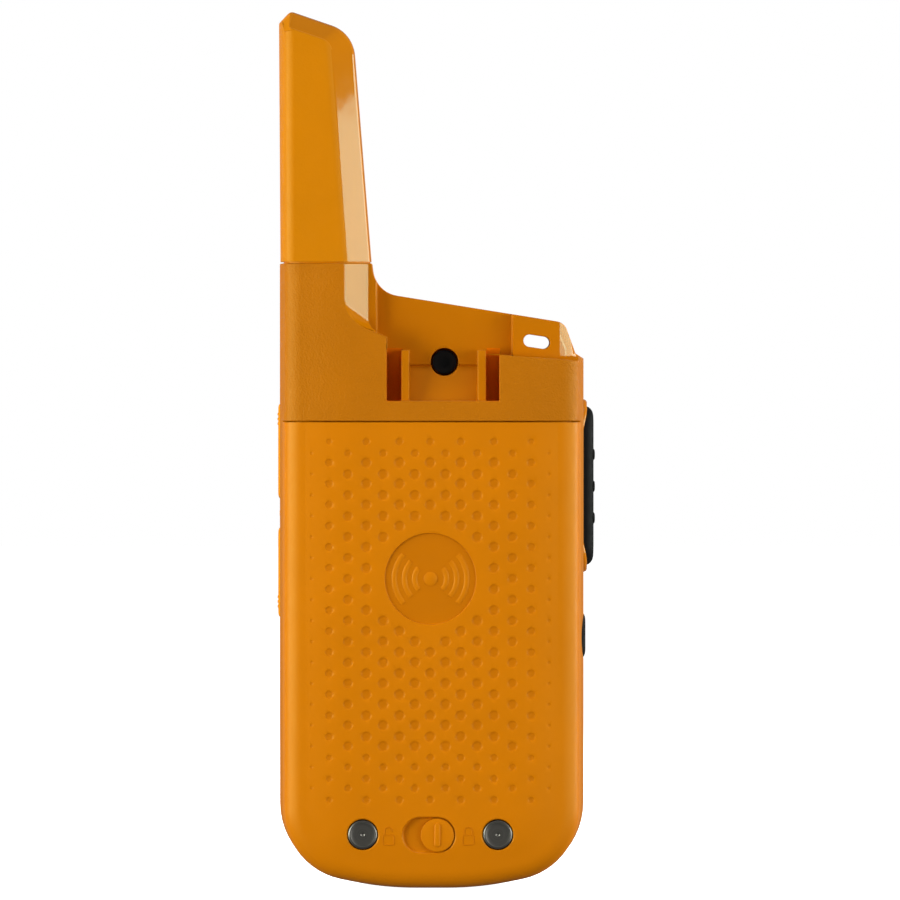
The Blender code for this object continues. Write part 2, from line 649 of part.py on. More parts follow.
def cut_side_openings(housing):
    cut(housing, slab("cut_ptt", side_outline(*PTT, GAP), -OUTSIDE, -24, plane="YZ"))
    cut(housing, slab("cut_side_button", side_outline(*SIDE_BUTTON, GAP), -OUTSIDE, -24, plane="YZ"))
    front, back = FLAP_Y
    recess = box("cut_flap_recess", (FLAP_INNER - GAP, front - GAP, LOWER_FLAP_BOTTOM - GAP),
                 (OUTSIDE, back + GAP, UPPER_FLAP_TOP + GAP))
    cut(housing, recess)
    y, z = JACK
    cut(housing, cylinder("cut_jack_hole", (22, y, z), (OUTSIDE, y, z), 3.1))
    y, z = PORT
    cut(housing, slab("cut_port_hole", stadium(y, z, 4.4, 10.2), 22, OUTSIDE, plane="YZ"))


def make_front_panel():
    half_width, bottom, top = BEZEL
    bezel = slab("front_bezel", ring_outline(half_width, bottom, top, 3.7), -15.7, BEZEL_FLOOR - GAP, PLASTIC_BLACK)
    window_half, window_bottom, window_top = WINDOW
    lens_hole = ring_outline(window_half + GAP, window_bottom - GAP, window_top + GAP, 1.5)
    cut(bezel, slab("cut_lens_hole", lens_hole, -BEHIND, -12))
    for name, (x, z) in KEYS.items():
        hole = stadium(x, z, KEY_SIZE[0] + 2 * GAP, KEY_SIZE[1] + 2 * GAP, steps=3)
        cut(bezel, slab(f"cut_bezel_{name}", hole, -BEHIND, -12))
        key = slab(name, stadium(x, z, *KEY_SIZE, steps=3), -16.2, KEY_INNER, RUBBER_BLACK)
        move_origin(key, (x, KEY_INNER, z))
    slab("display_lens", ring_outline(window_half, window_bottom, window_top, 1.2), -15.6, BEZEL_FLOOR - GAP,
         (CHARCOAL, 0.08, 0.0))
    box("display_module", (-18.5, FRONT_INNER + GAP, 72.0), (18.5, -9.5, 98.0), ((0.35, 0.40, 0.33), 0.3, 0.0))
    membrane = ring_outline(20.5, 49.5, 70.5, 2)
    slab("keypad_membrane", membrane, -12.6, -12.0, RUBBER_BLACK)


def make_speaker():
    x, z = SPEAKER
    slab("speaker_mesh", stadium(x, z, 2 * SPEAKER_RADIUS, 2 * SPEAKER_RADIUS), -12.7, -12.5, PLASTIC_BLACK)
    frame = cylinder("speaker_frame", (x, -12.2, z), (x, -8.9, z), SPEAKER_RADIUS, METAL, 32)
    cut(frame, cylinder("cut_speaker_frame", (x, -14, z), (x, -9.7, z), SPEAKER_RADIUS - 0.9, segments=32))
    cylinder("speaker_cone", (x, -12.0, z), (x, -10.0, z), SPEAKER_RADIUS - 1.2, PLASTIC_BLACK, 32, 6.0)
    cylinder("speaker_magnet", (x, -8.6, z), (x, BOARD_FRONT - GAP, z), 7.5, METAL)
    x, z = MICROPHONE
    cylinder("microphone", (x, FRONT_INNER + GAP, z), (x, -10.5, z), 2.2, METAL)


def make_electronics():
    corners = [(-24.5, 4.6, 12), (24.5, 4.6, 12), (24.5, 103.2, 2), (-13.5, 103.2, 2), (-13.5, 97, 1), (-24.5, 97, 2)]
    board = slab("main_board", outline(corners, steps=3), BOARD_FRONT, BOARD_BACK, ((0.02, 0.16, 0.06), 0.4, 0.0))
    for index, (x, z) in enumerate(SCREWS):
        cut(board, cylinder(f"cut_board_{index}", (x, -6, z), (x, -3, z), 2.9))
    x, z = WELL
    cut(board, cylinder("cut_board_well", (x, -6, z), (x, -3, z), 1.4, segments=16))
    box("rf_shield", (-0.5, BOARD_BACK + GAP, 91.5), (15.5, -1.2, 102.0), METAL)
    box("ptt_switch", (-25.3, -8.6, 72.2), (-21.5, BOARD_FRONT - GAP, 76.6), METAL)
    box("side_switch", (-25.3, -8.6, 45.2), (-22.0, BOARD_FRONT - GAP, 48.7), METAL)
    y, z = JACK
    jack = cylinder("headset_jack", (19.2, y, z), (26.0, y, z), 2.6, PLASTIC_BLACK)
    cut(jack, cylinder("cut_headset_jack", (20.5, y, z), (27.0, y, z), 1.3, segments=16))
    y, z = PORT
    port = slab("usb_port", stadium(y, z, 3.2, 9.0), 19.0, 26.0, METAL, "YZ")
    cut(port, slab("cut_usb_port", stadium(y, z, 2.5, 8.3), 20.0, 27.0, plane="YZ"))


def make_screws():
    for index, (x, z) in enumerate(SCREWS):
        screw = cylinder(f"housing_screw_{index + 1}", (x, 10.5, z), (x, 12.0, z), 1.9, METAL)
        join(screw, cylinder(f"join_screw_shank_{index}", (x, -8.0, z), (x, 11.0, z), 0.9, segments=12))
    x, z = WELL
    screw = cylinder("clip_screw", (x, WELL_FLOOR + GAP, z), (x, WELL_FLOOR + 2.2, z), 2.2, RUBBER_BLACK)
    join(screw, cylinder("join_clip_screw_shank", (x, -2.0, z), (x, WELL_FLOOR + 1, z), 0.95, segments=12))
    cut(screw, cylinder("cut_clip_screw_drive", (x, WELL_FLOOR + 1.2, z), (x, WELL_FLOOR + 4, z), 1.1, segments=6))


# ---------------------------------------------------------------- sides

def make_buttons():
    ptt = slab("ptt_button", side_outline(*PTT), PTT_OUTER, PTT_INNER, RUBBER_BLACK, "YZ")
    for index, z in enumerate(PTT_RIDGES):
        ridge = stadium(PTT_OUTER + 0.2, z, 1.0, 2.0)
        join(ptt, slab(f"join_ptt_ridge_{index}", ridge, PTT[0] + 1.2, PTT[1] - 1.2))
    move_origin(ptt, (PTT_INNER, (PTT[0] + PTT[1]) / 2, (PTT[2] + PTT[3]) / 2))
    front, back, bottom, top = SIDE_BUTTON
    button = slab("side_button", side_outline(*SIDE_BUTTON), -28.9, -26.6, RUBBER_BLACK, "YZ")
    move_origin(button, (-26.6, (front + back) / 2, (bottom + top) / 2))


def make_port_cover():
    """Two rubber flaps that bend outwards on either side of a fixed anchor."""
    front, back = FLAP_Y
    way_out = FLAP_OUTER - 0.6

    def flap(name, hinge, tip):
        way = 1 if tip > hinge else -1
        profile = [(FLAP_INNER, hinge + way * 0.4), (27.9, hinge + way * 0.4), (FLAP_OUTER, hinge + way * 1.7),
                   (FLAP_OUTER, tip - way * 1.0), (way_out, tip), (FLAP_INNER, tip)]
        return slab(name, profile if way < 0 else profile[::-1], front, back, RUBBER_ORANGE)

    upper = flap("port_flap_upper", UPPER_HINGE_Z, UPPER_FLAP_TOP)
    y, z = JACK
    join(upper, cylinder("join_jack_plug", (26.3, y, z), (FLAP_INNER + 0.5, y, z), 2.5))
    lower = flap("port_flap_lower", LOWER_HINGE_Z, LOWER_FLAP_BOTTOM)
    y, z = PORT
    join(lower, slab("join_port_plug", stadium(y, z, 3.0, 8.8), 26.3, FLAP_INNER + 0.5, plane="YZ"))
    middle_y = (front + back) / 2
    move_origin(upper, (FLAP_HINGE_X, middle_y, UPPER_HINGE_Z))
    move_origin(lower, (FLAP_HINGE_X, middle_y, LOWER_HINGE_Z))
    anchor = [(FLAP_INNER, 68.3), (27.7, 68.3), (28.9, 69.4), (28.9, 70.7), (27.7, 71.8), (FLAP_INNER, 71.8)]
    slab("port_cover_anchor", anchor, front, back, RUBBER_ORANGE)


make_rear_housing()
make_seals()
make_battery_cover()
make_latch()
make_contacts()
make_battery()
make_antenna()
make_front_housing()
make_front_panel()
make_speaker()
make_electronics()
make_screws()
make_buttons()
make_port_cover()
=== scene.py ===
"""Two way radio seen from behind: detailed pieces, materials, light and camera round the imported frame.

Lengths below are in millimetres, in the frame's own axes, and are turned into metres as each mesh is finished.
"""

import json
import math

import bmesh
import bpy
from mathutils import Matrix, Vector
from mathutils.geometry import delaunay_2d_cdt

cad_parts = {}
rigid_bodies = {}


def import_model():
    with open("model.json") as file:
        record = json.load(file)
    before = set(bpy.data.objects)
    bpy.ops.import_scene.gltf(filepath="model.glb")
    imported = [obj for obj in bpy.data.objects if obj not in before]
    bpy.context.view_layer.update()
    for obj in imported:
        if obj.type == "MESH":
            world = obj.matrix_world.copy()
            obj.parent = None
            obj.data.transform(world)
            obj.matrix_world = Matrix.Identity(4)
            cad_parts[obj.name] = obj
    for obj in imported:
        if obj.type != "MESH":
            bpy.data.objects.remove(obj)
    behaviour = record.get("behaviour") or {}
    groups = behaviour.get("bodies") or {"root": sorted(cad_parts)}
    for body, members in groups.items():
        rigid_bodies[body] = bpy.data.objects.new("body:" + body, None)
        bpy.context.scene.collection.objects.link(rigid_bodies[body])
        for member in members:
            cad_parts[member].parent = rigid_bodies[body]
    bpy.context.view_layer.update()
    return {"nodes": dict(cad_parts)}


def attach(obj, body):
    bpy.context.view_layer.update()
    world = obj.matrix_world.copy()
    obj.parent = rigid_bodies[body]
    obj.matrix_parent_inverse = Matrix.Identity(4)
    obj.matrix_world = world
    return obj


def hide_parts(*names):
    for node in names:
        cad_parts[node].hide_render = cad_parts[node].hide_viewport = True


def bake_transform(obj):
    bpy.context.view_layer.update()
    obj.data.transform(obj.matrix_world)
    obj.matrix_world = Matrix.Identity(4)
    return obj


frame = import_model()

MM = 0.001
GAP = 0.3                    # clearance round each fitted or moving piece

# Body
HALF_WIDTH = 28.65
HALF_DEPTH = 15.5
EDGE = 4.0                   # rounding between the sides and the front or back face
DRAFT = 1.0                  # how far the sides lean in from the split to the edges
SPLIT = -3.0                 # depth of the seam between the halves
REAR_FRONT = SPLIT + GAP
PILLOW_START = 14.0          # how far in from the sides the back face turns flat
PILLOW_DROP = 0.8
ABOVE = 131.0                # cutters reach this far, past the body's top, sides and back
OUTSIDE = 31.0
BEHIND = 17.0
STUB_TOP = 117.1
STUB_INNER_X = 11.2
TOP_FILLET = (10.6, 111.7, 5.5)   # corners of the top edge: (x, z, radius)
TOP_CORNER = (-24.9, 106.0, 2.5)
TAB_FOOT = (-27.0, 100.2, 0.6)
SHOULDER = (-HALF_WIDTH, 99.2, 0.9)
FOOT_FLAT = 9.0              # half the width of the level part of the foot
FOOT_SLOPE = 0.2
FOOT_RADIUS = 14.2
FOOT_CORNER = FOOT_SLOPE * (HALF_WIDTH - FOOT_FLAT)
BODY = [(-FOOT_FLAT, 0.0, 60.0), (FOOT_FLAT, 0.0, 60.0), (HALF_WIDTH, FOOT_CORNER, FOOT_RADIUS),
        (HALF_WIDTH, ABOVE, 2.0), (-HALF_WIDTH, ABOVE, 2.0), (-HALF_WIDTH, FOOT_CORNER, FOOT_RADIUS)]

# Clip bay
TAB_BACK = 12.0
SHELF_BACK = 9.0
BAY_LEFT = 8.4
BAY_RIGHT = -12.7
BAY_BOTTOM = 91.3
BAY_TOP = 100.8
LEDGE = 97.95                # step between the ramp and the shelf, between the ribs
RIBS = ((4.19, 5.66), (-10.2, -8.64))
RIB_BACK = 14.2
TAB_EDGE_X = -15.2
SATIN = 1                    # material slots of the rear shell
GLOSSY = 2
# Slot 3 holds a brighter orange than the shell's own: painted light in the deep pockets beside the ribs.
POCKET = 3
WELL = (-2.4, 98.6)
SLOT = (-19.7, 102.4, 5.0, 2.3)   # lanyard slot: (x, z, width, height)
SLOT_TILT = math.radians(8.5)

# Battery cover
SEAM = 87.3                  # height of the cover's top edge
COVER_FRONT = 6.3
COVER_WALL = 1.5
TRAY_WALL = COVER_WALL + GAP
TRAY_FLOOR = -1.2
TRAY = (22.35, 17.1, 74.0)   # half the width, then the bottom and the top
GROOVE = (24.2, 15.3, 75.8)
HOOKS_X = (-15.0, 15.0)
EMBLEM = (0.2, 58.0, 8.6)    # round recess: (x, z, radius)
EMBLEM_DEPTH = 0.35
DIMPLE_DEPTH = 0.16
CONTACTS_X = (12.9, -12.4)
CONTACT_Z = 10.1
CONTACT_RADIUS = 2.87
LATCH_SLOT = (0.5, 10.0, 9.9, 6.7)
LATCH_FLOOR = 14.5
LATCH_TRAVEL = 3.2
LATCH_X = LATCH_SLOT[0] - LATCH_TRAVEL / 2
LATCH_RADIUS = 3.12
STEM_OFFSET = -1.2           # the latch's stem stands off its middle, where the slider hides its slot

# Antenna
ANTENNA_BASE = STUB_TOP + GAP
ANTENNA_TOP = 164.5

# Front
FRONT_INNER = -13.0
WALL = 3.2
BEZEL = (21.5, 46.0, 101.0)  # half the width, then the bottom and the top
BEZEL_FLOOR = -14.2
WINDOW = (16.0, 74.0, 96.0)
KEYS = {
    "key_power": (13.5, 66.0),
    "key_up": (0.0, 66.0),
    "key_call": (-13.5, 66.0),
    "key_menu": (13.5, 55.0),
    "key_down": (0.0, 55.0),
    "key_scan": (-13.5, 55.0),
}
KEY_SIZE = (9.6, 6.4)
KEY_INNER = -13.3
SPEAKER = (0.0, 27.0)
SPEAKER_RADIUS = 13.5
GRILLE_SLOTS = 7
GRILLE_PITCH = 3.4
MICROPHONE = (0.0, 8.6)
SCREWS = ((20.0, 13.0), (-20.0, 13.0), (22.0, 79.5), (-22.0, 79.5))

# Sides
PTT = (-12.0, -5.0, 60.2, 90.2)   # front, back, bottom and top of the pad
SIDE_BUTTON = (-10.5, -6.5, 42.6, 51.3)
FLAP_Y = (-12.5, -5.0)
FLAP_INNER = 27.3
FLAP_OUTER = 29.0
UPPER_HINGE_Z = 72.2
LOWER_HINGE_Z = 67.9
UPPER_FLAP_TOP = 90.9
LOWER_FLAP_BOTTOM = 50.2
JACK = (-8.0, 85.3)
PORT = (-7.2, 58.5)

workshop = bpy.data.collections.new("workshop")
radio = bpy.data.collections.new("radio")
bpy.context.scene.collection.children.link(workshop)
bpy.context.scene.collection.children.link(radio)


# ---------------------------------------------------------------- materials

FINISHES = {}


class Shader:
    """A Principled material and the few nodes that its finish needs."""

    def __init__(self, name, **sockets):
        self.material = bpy.data.materials.new("finish_" + name)
        FINISHES[name] = self.material
        self.material.use_nodes = True
        self.tree = self.material.node_tree
        self.principled = self.tree.nodes["Principled BSDF"]
        for socket, value in sockets.items():
            self.principled.inputs[socket.replace("_", " ")].default_value = value
        self.place = self.tree.nodes.new("ShaderNodeTexCoord").outputs["Object"]
        self.height = None

    def node(self, kind, **settings):
        made = self.tree.nodes.new(kind)
        for key, value in settings.items():
            if key in made.bl_rna.properties:
                setattr(made, key, value)
            else:
                made.inputs[key.replace("_", " ")].default_value = value
        return made

    def link(self, source, target):
        self.tree.links.new(source, target)

    def noise(self, feature, detail=2.0, stretch=(1, 1, 1), **more):
        """Noise whose features are so many millimetres across."""
        mapping = self.node("ShaderNodeMapping", Scale=stretch)
        self.link(self.place, mapping.inputs["Vector"])
        noise = self.node("ShaderNodeTexNoise", Scale=1 / (feature * MM), Detail=detail, **more)
        self.link(mapping.outputs["Vector"], noise.inputs["Vector"])
        return noise.outputs["Factor" if "Factor" in noise.outputs else "Fac"]

    def spots(self, feature, **more):
        """Cells so many millimetres across: low in each middle and high between them."""
        cells = self.node("ShaderNodeTexVoronoi", Scale=1 / (feature * MM), **more)
        self.link(self.place, cells.inputs["Vector"])
        return cells.outputs["Distance"]

    def spread(self, source, low, high, from_low=0.3, from_high=0.7):
        ranged = self.node("ShaderNodeMapRange")
        self.link(source, ranged.inputs["Value"])
        for socket, value in (("From Min", from_low), ("From Max", from_high), ("To Min", low), ("To Max", high)):
            ranged.inputs[socket].default_value = value
        return ranged.outputs["Result"]

    def vary_colour(self, factor, first, second):
        mix = self.node("ShaderNodeMix", data_type="RGBA")
        self.link(factor, mix.inputs[0])
        mix.inputs[6].default_value = (*first, 1.0)
        mix.inputs[7].default_value = (*second, 1.0)
        self.link(mix.outputs[2], self.principled.inputs["Base Color"])

    def vary_roughness(self, factor, low, high):
        self.link(self.spread(factor, low, high), self.principled.inputs["Roughness"])

    def bump(self, source, depth, strength=1.0):
        """Relief so many millimetres deep, on top of any relief before it."""
        bump = self.node("ShaderNodeBump", Strength=strength, Distance=depth * MM)
        self.link(source, bump.inputs["Height"])
        if self.height is not None:
            self.link(self.height, bump.inputs["Normal"])
        self.height = bump.outputs["Normal"]
        self.link(self.height, self.principled.inputs["Normal"])


def plain(name, colour, roughness, grain=None, **sockets):
    """A finish with a varying colour and roughness, each as (feature, low, high), and a grain as (feature, depth)."""
    finish = Shader(name, **sockets)
    finish.vary_colour(finish.noise(colour[0]), *colour[1:])
    finish.vary_roughness(finish.noise(roughness[0]), *roughness[1:])
    if grain:
        finish.bump(finish.noise(grain[0]), grain[1])
    return finish


def orange(name, colour, roughness, grain, depth, shine, tint=(1.0, 1.0, 0.3, 1.0)):
    """Moulded orange plastic whose surface has a fine grain."""
    finish = Shader(name, IOR=1.5, Specular_IOR_Level=shine, Specular_Tint=tint)
    darker = tuple(channel * 0.93 for channel in colour)
    lighter = tuple(channel * 1.05 for channel in colour)
    finish.vary_colour(finish.noise(9.0, 3.0), darker, lighter)
    finish.vary_roughness(finish.noise(1.4, 2.0), roughness * 0.9, roughness * 1.12)
    finish.bump(finish.noise(5.0, 1.0), 0.012)
    finish.bump(finish.noise(grain, 2.0), depth)
    return finish


def make_materials():
    """Every finish of the radio: orange(name, colour, roughness, grain, depth, shine)."""
    textured = orange("textured_orange", (0.455, 0.131, 0.0), 0.5, 0.3, 0.1, 0.27)
    textured.bump(textured.spots(0.42), 0.052, 0.8)
    antenna = orange("antenna_orange", (0.56, 0.178, 0.0), 0.46, 0.3, 0.03, 0.24)
    antenna.bump(antenna.spots(0.45), 0.02, 0.8)
    orange("smooth_orange", (0.54, 0.170, 0.0), 0.045, 0.8, 0.0008, 0.44, (0.62, 1.0, 0.78, 1.0))
    orange("satin_orange", (0.50, 0.145, 0.0), 0.4, 0.5, 0.004, 0.2)
    orange("cover_orange", (0.59, 0.170, 0.0), 0.42, 0.24, 0.012, 0.24)
    # painted_shade_orange is the cover's orange made darker: painted shade on the floors of the dimples and the
    # emblem's recess, and on the lock marks.
    orange("painted_shade_orange", (0.53, 0.147, 0.0), 0.42, 0.24, 0.012, 0.22)
    # pocket_painted_light_orange is the shell's orange made brighter and redder: painted light in the deep pockets of
    # the clip bay.
    orange("pocket_painted_light_orange", (0.68, 0.155, 0.0), 0.45, 0.3, 0.012, 0.1)
    orange("orange_rubber", (0.67, 0.235, 0.002), 0.6, 0.2, 0.014, 0.24)

    plain("black_rubber", (3.0, (0.005, 0.0055, 0.006), (0.009, 0.0095, 0.010)), (0.8, 0.5, 0.62), (0.22, 0.012),
          IOR=1.5, Specular_IOR_Level=0.06)
    plain("black_plastic", (4.0, (0.006, 0.0065, 0.007), (0.010, 0.0105, 0.011)), (1.0, 0.3, 0.42), (0.3, 0.008),
          IOR=1.5, Specular_IOR_Level=0.2)
    plain("lens", (20.0, (0.006, 0.008, 0.009), (0.010, 0.012, 0.014)), (6.0, 0.03, 0.07),
          IOR=1.52, Coat_Weight=1.0, Coat_Roughness=0.02)
    plain("core", (3.0, (0.70, 0.68, 0.60), (0.80, 0.78, 0.70)), (1.0, 0.45, 0.6), (0.4, 0.01), IOR=1.5)

    display = Shader("display", IOR=1.5)
    display.vary_colour(display.spots(0.5, distance="CHEBYCHEV"), (0.20, 0.24, 0.18), (0.30, 0.34, 0.27))
    display.vary_roughness(display.noise(2.0), 0.25, 0.35)

    metal("nickel", (0.30, 0.285, 0.26), (0.42, 0.40, 0.37), 0.24, 0.34)
    metal("steel", (0.50, 0.50, 0.51), (0.60, 0.60, 0.61), 0.24, 0.36)
    metal("brass", (0.62, 0.40, 0.13), (0.76, 0.53, 0.22), 0.22, 0.34)

    board = Shader("board", IOR=1.5, Coat_Weight=0.5, Coat_Roughness=0.15)
    tracks = board.spread(board.spots(2.6, distance="MANHATTAN"), 0.0, 1.0, 0.42, 0.46)
    board.vary_colour(tracks, (0.012, 0.10, 0.035), (0.02, 0.17, 0.06))
    board.vary_roughness(board.noise(1.5), 0.35, 0.45)
    board.bump(tracks, 0.03)

    # The cells' sleeves are blue between two grey ends.
    cell = Shader("cell", IOR=1.5, Coat_Weight=0.6, Coat_Roughness=0.08)
    bands = cell.node("ShaderNodeSeparateXYZ")
    cell.link(cell.place, bands.inputs["Vector"])
    band = cell.node("ShaderNodeMath", operation="COMPARE")
    cell.link(bands.outputs["Z"], band.inputs[0])
    band.inputs[1].default_value = 0.046
    band.inputs[2].default_value = 0.015
    cell.vary_colour(band.outputs["Value"], (0.16, 0.17, 0.18), (0.012, 0.10, 0.22))
    cell.vary_roughness(cell.noise(2.0), 0.22, 0.32)
    cell.bump(cell.noise(0.9), 0.01)


def metal(name, dark, light, low, high):
    """Plated or bare metal with a fine drawn grain."""
    finish = Shader(name, Metallic=1.0)
    finish.vary_colour(finish.noise(1.5, 3.0), dark, light)
    finish.vary_roughness(finish.noise(0.6, 3.0, (1, 1, 6)), low, high)
    finish.bump(finish.noise(0.25, 2.0, (1, 1, 8)), 0.004)


def turned_nickel(name, x, z):
    """Dark nickel with rings turned round the contact's middle."""
    finish = Shader(name, Metallic=1.0)
    source = finish.place
    for operation, operand in (("SUBTRACT", (x * MM, 0.0, z * MM)), ("MULTIPLY", (1.0, 0.0, 1.0)), ("LENGTH", None)):
        step = finish.node("ShaderNodeVectorMath", operation=operation)
        finish.link(source, step.inputs[0])
        if operand:
            step.inputs[1].default_value = operand
        source = step.outputs["Vector" if operand else "Value"]
    rings = finish.node("ShaderNodeTexNoise", Scale=6000.0, Detail=3.0, noise_dimensions="1D")
    finish.link(source, rings.inputs["W"])
    factor = rings.outputs[0]
    finish.vary_colour(factor, (0.09, 0.086, 0.076), (0.22, 0.21, 0.19))
    finish.vary_roughness(factor, 0.28, 0.42)
    finish.bump(factor, 0.006)
    return finish.material


# ---------------------------------------------------------------- mesh helpers

def finish_mesh(name, work, slots, smooth=32.0):
    """Turn a bmesh in millimetres into an object in metres. A cutter has no slots, and goes in the workshop."""
    bmesh.ops.recalc_face_normals(work, faces=work.faces)
    bmesh.ops.scale(work, vec=(MM, MM, MM), verts=work.verts)
    mesh = bpy.data.meshes.new(name)
    work.to_mesh(mesh)
    work.free()
    for slot in slots:
        mesh.materials.append(FINISHES[slot])
    thing = bpy.data.objects.new(name, mesh)
    (radio if slots else workshop).objects.link(thing)
    if slots:
        shade(thing, smooth)
    return thing


def shade(thing, angle):
    """Smooth shading except at edges sharper than the angle, in degrees."""
    mesh = thing.data
    mesh.polygons.foreach_set("use_smooth", [True] * len(mesh.polygons))
    mesh.set_sharp_from_angle(angle=math.radians(angle))
    mesh.update()


def weigh_normals(thing):
    modifier = thing.modifiers.new("weigh_normals", "WEIGHTED_NORMAL")
    modifier.keep_sharp = True
    modifier.mode = "FACE_AREA"
    modifier.weight = 60


def bake_modifiers(thing):
    """Replace the mesh with what its modifiers make of it."""
    bpy.context.view_layer.update()
    mesh = bpy.data.meshes.new_from_object(thing.evaluated_get(bpy.context.evaluated_depsgraph_get()))
    thing.modifiers.clear()
    thing.data = mesh
    return thing


def round_edges(thing, width, segments=2):
    """A small rounding along every sharp edge."""
    mesh = thing.data
    work = bmesh.new()
    work.from_mesh(mesh)
    bmesh.ops.remove_doubles(work, verts=work.verts, dist=0.00001)
    bmesh.ops.dissolve_degenerate(work, dist=0.00001, edges=work.edges)
    work.to_mesh(mesh)
    work.free()
    bevel = thing.modifiers.new("round_edges", "BEVEL")
    bevel.width = width * MM
    bevel.segments = segments
    bevel.limit_method = "ANGLE"
    bevel.angle_limit = math.radians(38)
    bevel.use_clamp_overlap = False
    bevel.loop_slide = False
    bake_modifiers(thing)
    shade(thing, 50)
    weigh_normals(thing)
    return thing


def left_of(direction):
    return Vector((-direction.y, direction.x))


def middle_of(points):
    return sum(points, Vector((0, 0))) / len(points)


def bends(corners):
    """For each corner (x, z, radius): its place and radius, the directions before and after it, and its turn."""
    for index, (x, z, radius) in enumerate(corners):
        here = Vector((x, z))
        arriving = (here - Vector(corners[index - 1][:2])).normalized()
        leaving = (Vector(corners[(index + 1) % len(corners)][:2]) - here).normalized()
        turn = math.atan2(arriving.x * leaving.y - arriving.y * leaving.x, arriving.dot(leaving))
        yield here, radius, arriving, leaving, turn


def outline(corners, inset=0.0, steps=8):
    """Points of a closed counter-clockwise outline whose corners are (x, z, radius), moved inwards by inset."""
    points = []
    for here, radius, arriving, leaving, turn in bends(corners):
        inward = left_of(arriving)
        both = inward + left_of(leaving)
        vertex = here + both * inset * 2 / both.length_squared
        side = 1 if turn > 0 else -1
        round_radius = max(radius - inset, 0.2) if turn > 0 else radius
        if radius == 0:
            points.append(vertex)
            continue
        start = vertex - arriving * round_radius * math.tan(abs(turn) / 2)
        centre = start + inward * round_radius * side
        for step in range(steps + 1):
            spoke = start - centre
            spoke.rotate(Matrix.Rotation(turn * step / steps, 2))
            points.append(centre + spoke)
    return points


def stadium(x, z, width, height, tilt=0.0, steps=8, inset=0.0):
    """A slot outline with round ends."""
    width -= 2 * inset
    height -= 2 * inset
    radius = min(width, height) / 2
    half = Vector((width, height)) / 2
    corners = [(-half.x, -half.y), (half.x, -half.y), (half.x, half.y), (-half.x, half.y)]
    points = outline([(u, v, radius * 0.999) for u, v in corners], steps=steps)
    for point in points:
        point.rotate(Matrix.Rotation(tilt, 2))
    return [point + Vector((x, z)) for point in points]


def circle(x, z, radius, segments=32):
    return [Vector((x + radius * math.cos(math.tau * i / segments), z + radius * math.sin(math.tau * i / segments)))
            for i in range(segments)]


def bridge(work, near, far, index=0, closed=True):
    """A band of faces between two loops of equally many vertices."""
    for spot in range(len(near) if closed else len(near) - 1):
        after = (spot + 1) % len(near)
        work.faces.new((near[spot], near[after], far[after], far[spot])).material_index = index


def loft_mesh(work, rings, closed=True, caps=True, index=0):
    """Join rings of equally many points into work, and return the loops of vertices."""
    loops = [[work.verts.new(point) for point in ring] for ring in rings]
    for near, far in zip(loops, loops[1:]):
        bridge(work, near, far, index, closed)
    if caps:
        for loop in (loops[0], loops[-1]):
            work.faces.new(loop).material_index = index
    return loops


def tube_mesh(work, rings):
    """Join rings into a closed band, the last ring to the first."""
    loops = loft_mesh(work, rings, caps=False)
    bridge(work, loops[-1], loops[0])


def loft(rings, index=1, name="cutter", slots=()):
    """A solid through the rings: a piece if it has slots, or else a cutter whose faces give the material index."""
    work = bmesh.new()
    loft_mesh(work, rings, index=0 if slots else index)
    return finish_mesh(name, work, slots)


PLANES = {
    "XZ": lambda u, v, w: (u, w, v),
    "YZ": lambda u, v, w: (w, u, v),
    "XY": lambda u, v, w: (u, v, w),
}


def slab(points, low, high, plane="XZ", index=1, name="cutter", slots=()):
    """A flat outline in a plane, as thick as from low to high along the third axis."""
    place = PLANES[plane]
    return loft([[place(p[0], p[1], level) for p in points] for level in (low, high)], index, name, slots)


def stack(work, levels, shape, plane="XZ"):
    """Join the outlines that shape gives for each (inset, height) into one closed form."""
    place = PLANES[plane]
    return loft_mesh(work, [[place(p[0], p[1], height) for p in shape(inset)] for inset, height in levels])


def box(low, high):
    """A cutter between two corners."""
    corners = [(low[0], low[2]), (high[0], low[2]), (high[0], high[2]), (low[0], high[2])]
    return slab(corners, low[1], high[1])


def cylinder(start, end, radius, segments=32, index=1):
    """A round cutter between two points."""
    start, end = Vector(start), Vector(end)
    turn = (end - start).to_track_quat("Z", "Y").to_matrix()
    ends = circle(0, 0, radius, segments)
    return loft([[point + turn @ Vector((*p, 0)) for p in ends] for point in (start, end)], index)


def cut(target, *tools):
    """Take the tools away from the target, one after the other."""
    for tool in tools:
        modifier = target.modifiers.new(tool.name, "BOOLEAN")
        modifier.operation = "DIFFERENCE"
        modifier.solver = "EXACT"
        modifier.object = tool


def lathe(name, centre, profile, slots, segments, index_of=None):
    """A turned piece whose axis runs along Y: profile points are (radius, y)."""
    work = bmesh.new()
    loops = []
    for radius, y in profile:
        if radius == 0:
            loops.append([work.verts.new((centre[0], y, centre[1]))])
        else:
            loops.append([work.verts.new((p.x, y, p.y)) for p in circle(*centre, radius, segments)])
    for number, (near, far) in enumerate(zip(loops, loops[1:])):
        for spot in range(segments):
            after = (spot + 1) % segments
            corners = [near[spot % len(near)], near[after % len(near)], far[after % len(far)], far[spot % len(far)]]
            face = work.faces.new(list(dict.fromkeys(corners)))
            face.material_index = index_of(number) if index_of else 0
    return finish_mesh(name, work, slots)


def keep(thing, body, slot, *nodes):
    """Say which body a piece rides on and which CAD nodes it stands for, and hide those nodes; the slot is not used.
    """
    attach(thing, body)
    if nodes:
        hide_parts(*nodes)
    return thing


def seal(name, work, body, slot, *nodes, finish=None, smooth=40):
    """Finish a piece of one material, which is the slot's own unless finish names another."""
    return keep(finish_mesh(name, work, (finish or slot,), smooth), body, slot, *nodes)


# ---------------------------------------------------------------- the body's form

def pillow(inset):
    """How far the back or front face lies below its highest level, so far in from the sides."""
    if inset >= PILLOW_START:
        return 0.0
    return PILLOW_DROP * ((PILLOW_START - inset) / (PILLOW_START - DRAFT - EDGE)) ** 2


